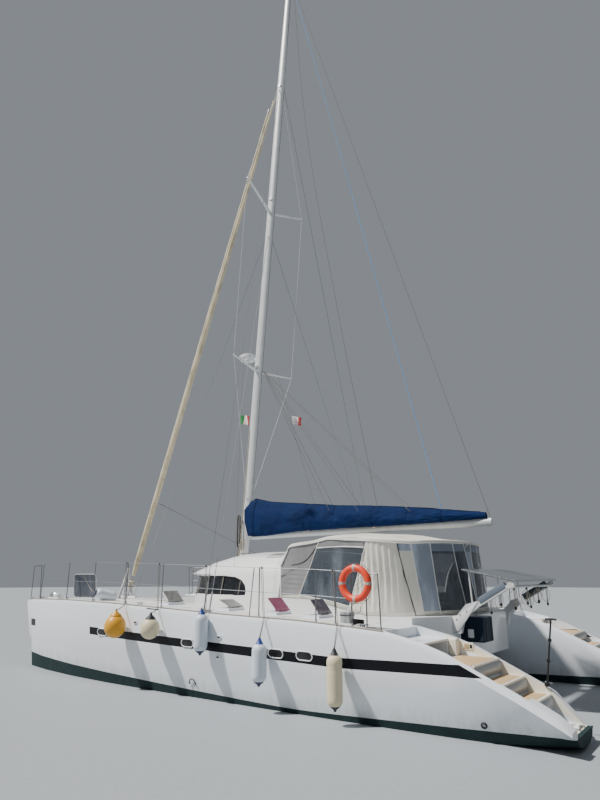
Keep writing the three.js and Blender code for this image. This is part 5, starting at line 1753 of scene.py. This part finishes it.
@dataclass
class SternGear:
    """The locker's cover, the davits' brackets, sleeves and tackles, and the solar panel's frame."""

    fore: float = -5.7
    rear: float = -6.187
    inner: float = 0.893
    outer: float = 1.497
    foot: float = 1.335
    top: float = 1.849
    arm: float = 1.62

    def cover(self) -> None:
        """A fitted cover over the locker: top, aft face and both sides."""
        middle = (self.inner + self.outer) / 2
        half = (self.outer - self.inner) / 2

        def at(u: float, v: float) -> Vector:
            """u round from one side's front to the other's, v from the hem up and in to the top's middle."""
            deep = self.fore - self.rear
            whole = 2 * deep + 2 * half
            s = u * whole
            x = self.fore - min(s, deep, max(0.0, whole - s))
            y = self.inner + min(2 * half, max(0.0, s - deep))
            wall = min(1.0, v / 0.62)
            shrink = 1 - max(0.0, (v - 0.66) / 0.34)
            z = lerp(self.foot, self.top - 0.02, wall) + 0.02 * min(1.0, max(0.0, (v - 0.6) / 0.1))
            crease = ripple((s * 3, 2, z * 2), 2.2, 0.004) * min(1.0, v * 5)
            flare = 0.008 * (1 - wall) ** 2 * sin(s * 30)
            x = lerp(self.fore, x, shrink) if shrink < 1 else x
            sign = 1 if y >= middle else -1
            at_side = s < deep or s > whole - deep
            return vec(x + (0.0 if at_side else -flare * 0.3 + min(0.0, crease)),
                           y + (sign * flare * 0.3 if at_side and shrink == 1 else 0.0), z)
        piece = Piece("locker_cover", Skin.NAVY_CANVAS)
        piece.surface(at, 60, 40)
        bmesh.ops.remove_doubles(piece.shape, verts=piece.shape.verts, dist=0.0005)
        piece.cloth((1.62, 0.86), "draped", ["stern_locker"], 0.0015, angle=50)
        straps = Piece("locker_straps", Skin.RUBBER)
        for y in (1.03, 1.36):
            path = [(self.rear - 0.006, y, z) for z in (1.34, 1.6, self.top - 0.01)]
            path += [(self.rear + 0.02, y, self.top + 0.004), (self.fore, y, self.top + 0.006)]
            straps.straight(path, 0.007)
        straps.use(Skin.WHITE_PLASTIC).put((-5.897, self.outer, 1.5), (1, 0, 0), (0, 1, 0))
        straps.slab(rounded(0.135, 0.18, 0.02), 0.006, 0.002)
        straps.done()

    def davits(self) -> None:
        """Angled bracket and bolts low on each arm, a slate sleeve higher up, and hanging tackles."""
        piece = Piece("davit_gear", Skin.GELCOAT)
        fan = [(-5.67, 1.86), (-6.18, 2.2), (-5.9, 1.8), (-5.69, 1.55), (-5.56, 1.52), (-5.56, 1.86)]
        piece.put((0, self.arm + 0.061, 0), (1, 0, 0), (0, 1, 0))
        piece.slab([(x, -z) for x, z in reversed(fan)], 0.012, 0.004)
        piece.use(Skin.STEEL)
        for x, z in ((-5.66, 1.8), (-5.75, 1.9), (-5.9, 1.98)):
            piece.lathe([(0.0, 0.012), (0.018, 0.012), (0.018, 0.022), (0.0, 0.026)], (x, -z, 0), steps=6)
        piece.put().use(Skin.SLEEVE)
        start, end = vec(-6.2, self.arm, 2.19), vec(-6.8, self.arm, 2.54)
        piece.put((start + end) / 2, end - start)
        piece.box((-0.35, -0.067, -0.075), (0.35, 0.067, 0.075), 0.02)
        piece.put().use(Skin.BLACK)
        for head, drop in self.tackles():
            for z in (0.0, -drop):
                piece.ball(head + vec(0, 0, z), (0.028, 0.018, 0.042), 12, 8)
        piece.use(Skin.ROPE)
        for head, drop in self.tackles():
            for shift in (-0.018, 0.0, 0.018):
                piece.straight([head + vec(shift, 0, 0), head + vec(shift * 0.6, 0, -drop)], 0.005)
            piece.tube([head, head + vec(0.12, 0.03, -0.18), head + vec(0.05, 0.05, -0.36),
                        head + vec(-0.06, 0.04, -0.22), head + vec(-0.02, 0.02, -0.02)], 0.006)
        piece.mirrored().done()

    def tackles(self) -> list[tuple[Vector, float]]:
        """Upper block and drop of each tackle on the port half of the davits."""
        rows = ((-6.4, 1.5, 2.32, 0.36), (-6.62, 1.46, 2.42, 0.3), (-6.88, 1.3, 2.47, 0.42),
                (-6.9, 0.45, 2.47, 0.34))
        return [(vec(x, y, z), drop) for x, y, z, drop in rows]

    def panel(self) -> None:
        """A pale frame round the solar panel and one bar under it."""
        piece = Piece("solar_frame", Skin.BARE_ALLOY)
        fore, rear = vec(-5.868, 0, 2.876), vec(-7.032, 0, 2.638)
        for y in (-1.69, 0.0, 1.69):
            side = vec(0, y, 0)
            piece.straight([fore + side, rear + side], 0.011)
        for spot in (fore, rear):
            piece.straight([spot + vec(0, -1.69, 0), spot + vec(0, 1.69, 0)], 0.011)
        piece.done()

    def build(self) -> None:
        """All of it."""
        self.cover()
        self.davits()
        self.panel()


@dataclass
class Foredeck:
    """Windlass, mesh panel, spare fender and anchor on the bows."""

    y: float = 3.9

    def windlass(self) -> None:
        """White housings with a chain wheel."""
        piece = Piece("windlass", Skin.WHITE_PLASTIC)
        base = deck_z(6.5)
        piece.box((6.2, self.y - 0.12, base), (6.75, self.y + 0.1, base + 0.05), 0.02)
        piece.box((6.3, self.y - 0.09, base + 0.04), (6.52, self.y + 0.08, base + 0.17), 0.05, 4)
        piece.use(Skin.STEEL)
        profile = [(0.02, -0.06), (0.075, -0.06), (0.075, -0.045), (0.05, -0.02), (0.05, 0.02),
                   (0.075, 0.045), (0.075, 0.06), (0.02, 0.06)]
        piece.lathe(profile, (6.64, self.y, base + 0.11), (0, 1, 0), 20)
        piece.mirrored().done()

    def screen(self) -> None:
        """A round-cornered frame of white tube filled with grey mesh, leaned on the port rail."""
        middle = vec(4.86, 4.02, 2.445)
        piece = Piece("mesh_screen", Skin.ALLOY)
        piece.put(middle, (1, 0.05, 0), (0, 0.1, 1))
        frame_line = [(x, 0.0, z) for x, z in rounded(1.0, 0.66, 0.1)]
        piece.straight(frame_line, 0.009, sides=2, closed=True)
        piece.use(Skin.SCREEN).put(middle, (1, 0.05, 0), (0, 1, -0.1))
        piece.slab(rounded(0.99, 0.65, 0.1), 0.002)
        piece.done()

    def spare(self) -> None:
        """A fat white fender with a dark end, lying on the deck."""
        x, z, radius = 4.05, deck_z(4.05) + 0.15, 0.15
        piece = Piece("spare_fender", Skin.WHITE_VINYL)
        axis = vec(-0.45, -0.85, -0.25)
        arc = [radians(10 * i) for i in range(10)]
        half = [(radius * sin(a), -0.17 - radius * cos(a)) for a in arc]
        body = [*half, *[(r, -h) for r, h in reversed(half)]]
        piece.lathe(body, (x, 3.85, z), axis, 28)
        piece.use(Skin.NAVY_VINYL)
        cap = [(radius * 1.01 * sin(a), -0.17 - radius * 1.03 * cos(a)) for a in arc[:5]]
        piece.lathe([*cap, (0.03, -0.17 - radius)], (x, 3.85, z), axis, 24)
        piece.use(Skin.ROPE)
        tail = vec(x, 3.85, z) - axis.normalized() * 0.32
        knots = [tail, tail + vec(0.1, 0.0, 0.02), tail + vec(0.35, 0.02, 0.22), (4.73, 4.3, 2.95)]
        piece.tube(knots, 0.006)
        piece.done()

    def anchor(self) -> None:
        """A galvanised anchor in its roller, and its chain back along the walkway."""
        piece = Piece("anchor", Skin.BARE_ALLOY)
        piece.tube([(7.5, 0.0, 2.04), (8.1, 0.0, 2.02), (8.36, 0.0, 1.93)], 0.022, sides=2)
        for sign in (1, -1):
            piece.put((8.36, 0, 1.93), (0.35, 0, -1), (0, sign, 0.3))
            piece.slab([(0.0, 0.0), (0.3, 0.02), (0.1, 0.16), (-0.02, 0.05)], 0.012, 0.003)
        piece.put().use(Skin.BARE_ALLOY)
        links = [(lerp(7.45, 4.95, i / 60), 0.03 * sin(i * 0.5), 1.972) for i in range(61)]
        for i, (x, y, z) in enumerate(links):
            turn = (0.026, 0.0, 0.013) if i % 2 else (0.026, 0.013, 0.0)
            ring = [(x + turn[0] * cos(a), y + turn[1] * sin(a), z + turn[2] * sin(a))
                    for a in (tau * k / 8 for k in range(8))]
            piece.straight(ring, 0.005, closed=True)
        piece.done()

    def build(self) -> None:
        """All four."""
        self.windlass()
        self.screen()
        self.spare()
        self.anchor()


@dataclass
class Spars:
    """Mast track, masthead instruments, spreader roots, winches and coiled halyard tails."""

    foot: Point = (2.19, 0.0, 3.3)

    def axis(self, z: float) -> Vector:
        """The mast's middle at a height."""
        return raked(self.foot, z)

    def mast(self) -> None:
        """Sail track, spreader roots, halyards, winches, pegs for the coils, a band and gear at the head."""
        piece = Piece("mast_fittings", Skin.BARE_ALLOY)
        piece.straight([self.axis(5.3) + vec(-0.165, 0, 0), self.axis(20.5) + vec(-0.165, 0, 0),
                    self.axis(26.2) + vec(-0.13, 0, 0)], 0.014)
        for z in (9.75, 16.35, 21.4):
            for sign in (1, -1):
                where = self.axis(z) + vec(0, sign * 0.1, 0)
                root = [(0.0, -0.03), (0.07, -0.03), (0.07, 0.012), (0.0, 0.02)]
                piece.lathe(root, where, (0, sign, 0), 16)
        piece.use(Skin.ROPE)
        for number in range(14):
            angle = radians(-58 + 8.9 * number)
            reach = vec(0.185 * cos(angle), 0.118 * sin(angle), 0)
            sway = vec(0.03 * sin(number * 2.1), 0.02 * sin(number * 3.7), 0)
            spots = [self.axis(z) + reach * (1.0 if z > 4 else 1.25) + sway * (z < 4)
                     for z in (3.32, 3.5, 3.8, 4.6, 7.5)]
            piece.use(Skin.ROPE if number % 3 else Skin.GREY_ROPE)
            piece.tube(spots, 0.009)
        piece.use(Skin.STEEL)
        for sign in (1, -1):
            where = self.axis(3.72) + vec(0.06, sign * 0.105, 0)
            drum = [(0.0, 0.0), (0.055, 0.0), (0.042, 0.03), (0.038, 0.07), (0.05, 0.095), (0.05, 0.11),
                    (0.0, 0.115)]
            piece.lathe(drum, where, (0, sign, 0), 20)
        piece.straight([(2.18, 0.05, 4.6), (2.28, 0.13, 4.6), (2.28, 0.23, 4.6)], 0.008)
        piece.straight([(2.12, 0.07, 3.84), (2.12, 0.22, 3.84)], 0.008)
        piece.use(Skin.BLACK)
        head = self.axis(26.4)
        piece.straight([head, head + vec(0.0, 0.03, 0.06), head + vec(0.18, 0.03, 0.07)], 0.008)
        ring = self.axis(3.42)
        band = [(0.173 * cos(a), 0.104 * sin(a), 0) for a in (tau * i / 24 for i in range(24))]
        piece.tube([ring + Vector(p) for p in band], 0.007, closed=True)
        piece.done()

    def coil(self, name: str, finish: Skin, side: float, x: float, top: float, low: float) -> None:
        """A halyard tail hung in a coil beside the mast."""
        path = []
        loops, steps, radius = 4, 20, 0.055
        for i in range(loops * steps + 1):
            angle = tau * i / steps
            run = ((top - low) / 2 - radius) * (1 + 0.03 * i / steps)
            path.append(vec(x + radius * sin(angle), side + 0.018 * (i / steps - 0.8),
                                (top + low) / 2 + run * tanh(4 * cos(angle)) + radius * cos(angle)))
        Piece(name, finish).cord(path, 0.018)

    def build(self) -> None:
        """Coils and fittings."""
        self.coil("halyard_coil_fore", Skin.GREY_ROPE, 0.16, 2.28, 4.62, 3.66)
        self.coil("halyard_coil_middle", Skin.ROPE, 0.15, 2.12, 3.86, 3.52)
        self.mast()


@dataclass
class Saloon:
    """Settee cushions on their bases, behind the windows."""

    sole: float = 1.402
    seat: float = 1.7

    SEATS = (((-0.3, 1.6), (0.6, 2.25)), ((0.62, 1.6), (1.58, 2.25)), ((1.6, 0.56), (2.2, 1.7)),
             ((1.6, -0.6), (2.2, 0.54)))

    def build(self) -> None:
        """Bases in gelcoat, cushions in cloth."""
        base = Piece("settee_bases", Skin.CREAM_GELCOAT)
        for (x0, y0), (x1, y1) in self.SEATS:
            base.box((x0 + 0.02, y0 + 0.02, self.sole), (x1 - 0.02, y1 - 0.02, self.seat), 0.03)
        base.done(replaces=("saloon_settee",))
        for number, ((x0, y0), (x1, y1)) in enumerate(self.SEATS, 1):
            pad = Piece(f"settee_cushion_{number}", Skin.CUSHION)
            cushion(pad, (x0 + 0.005, y0 + 0.005, self.seat - 0.01), (x1 - 0.005, y1 - 0.005, 1.83))
            bmesh.ops.remove_doubles(pad.shape, verts=pad.shape.verts, dist=0.001)
            pad.done(angle=80)


@dataclass
class DeckGear:
    """Stanchion feet and cleats, and the grey box and dark rope on the side deck."""

    POSTS = (8.25, 7.3, 5.35, 3.9, 2.42, 1.0, -2.2, -3.73, -4.21, -4.6, -4.94)

    def build(self) -> None:
        """Feet of the rail posts on both sides; the loose gear only on the port side."""
        feet = Piece("stanchion_feet", Skin.STEEL)
        for x in self.POSTS:
            y = deck_edge(x) - 0.125
            feet.put((x, y, deck_z(x)))
            feet.lathe([(0.0, 0.0), (0.045, 0.0), (0.04, 0.012), (0.02, 0.02), (0.018, 0.07), (0.0, 0.07)],
                       steps=16)
        for x in (7.55, 2.0, -4.75):
            y = deck_edge(x) - 0.26
            feet.put((x, y, deck_z(x)))
            horns = [(-0.14, 0, 0.045), (-0.06, 0, 0.055), (0.06, 0, 0.055), (0.14, 0, 0.045)]
            feet.tube(horns, 0.013, sides=2)
            for shift in (-0.045, 0.045):
                feet.rod((shift, 0, 0.0), (shift, 0, 0.05), 0.02, 0.013)
        feet.put().mirrored()
        feet.done()
        box = Piece("side_deck_box", Skin.GREY_RISER)
        base = deck_z(-4.16)
        box.box((-4.28, 3.8, base), (-4.05, 4.02, base + 0.22), 0.015)
        box.use(Skin.BLACK).box((-4.29, 3.79, base + 0.15), (-4.04, 4.03, base + 0.165), 0.004)
        box.done()
        self.rope()

    def rope(self) -> None:
        """A dark line from the port stern cleat to its coil on the side deck."""
        x, y, radius, thick, steps = -4.5, 4.06, 0.13, 0.024, 16
        lead = ((-4.75, 4.29, 0.068), (-4.735, 4.262, 0.052), (-4.7, 4.21, 0.016), (-4.664, 4.145, 0.013))
        path = [vec(a, b, deck_z(a) + up) for a, b, up in lead]
        for i in range(4 * steps + 1):
            angle = pi + tau * i / steps
            spot = vec(x + radius * cos(angle), y + radius * sin(angle), 0.0)
            path.append(spot + vec(0, 0, deck_z(spot.x) + thick * (0.55 + i / steps)))
        Piece("deck_rope", Skin.DARK_ROPE).cord(path, thick)


@dataclass
class Studio:
    """Camera, lights and floor."""

    eye: Point = (-11.25, 15.31, 2.75)
    yaw: float = -53.9
    pitch: float = 16.24
    focal_pixels: float = 601.0
    long_side: float = 800.0
    sensor: float = 36.0

    def build(self) -> None:
        """Makes the camera first, then the sun, sky and floor."""
        data = bpy.data.cameras.new("camera")
        data.sensor_fit = "AUTO"
        data.sensor_width = self.sensor
        data.lens = self.sensor * self.focal_pixels / self.long_side
        data.clip_end = 400.0
        camera = placed("camera", data)
        yaw, pitch = radians(self.yaw), radians(self.pitch)
        forward = vec(cos(yaw) * cos(pitch), sin(yaw) * cos(pitch), sin(pitch))
        camera.location = self.eye
        camera.rotation_euler = forward.to_track_quat("-Z", "Y").to_euler()
        bpy.context.scene.camera = camera
        self.light()
        self.floor()

    def light(self) -> None:
        """A soft sun from high over the port bow, and an even pale sky."""
        sun = bpy.data.lights.new("sun", "SUN")
        sun.energy = 6.2
        sun.angle = radians(3)
        sun.color = (1.0, 0.97, 0.92)
        lamp = placed("sun", sun)
        lamp.rotation_euler = vec(-0.43, -0.39, -0.82).to_track_quat("-Z", "Y").to_euler()
        world = bpy.data.worlds.new("studio")
        world.use_nodes = True
        world.node_tree.nodes["Background"].inputs["Color"].default_value = (0.8, 0.86, 0.94, 1.0)
        world.node_tree.nodes["Background"].inputs["Strength"].default_value = 0.3
        bpy.context.scene.world = world

    def floor(self) -> None:
        """A pale disc at the waterline."""
        mesh = bpy.data.meshes.new("floor")
        shape = bmesh.new()
        bmesh.ops.create_circle(shape, cap_ends=True, radius=140.0, segments=96)
        shape.to_mesh(mesh)
        shape.free()
        mesh.materials.append(Finish("studio floor", (0.34, 0.37, 0.4), 0.6).material())
        placed("floor", mesh)


def main() -> None:
    """Builds the boat's looks in order."""
    logging.basicConfig(level=logging.INFO, format="%(name)s: %(message)s")
    Studio().build()
    Dressing().build()
    for part in (Spars, Canopy, Fenders, HullFittings, SternSteps, SternGear, SailCover, RunningRigging,
                 GenoaWrap, Nets, HouseTrim, HatchLids, LifeRing, Foredeck, Saloon, DeckGear):
        part().build()
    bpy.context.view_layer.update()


if __name__ == "__main__":
    main()
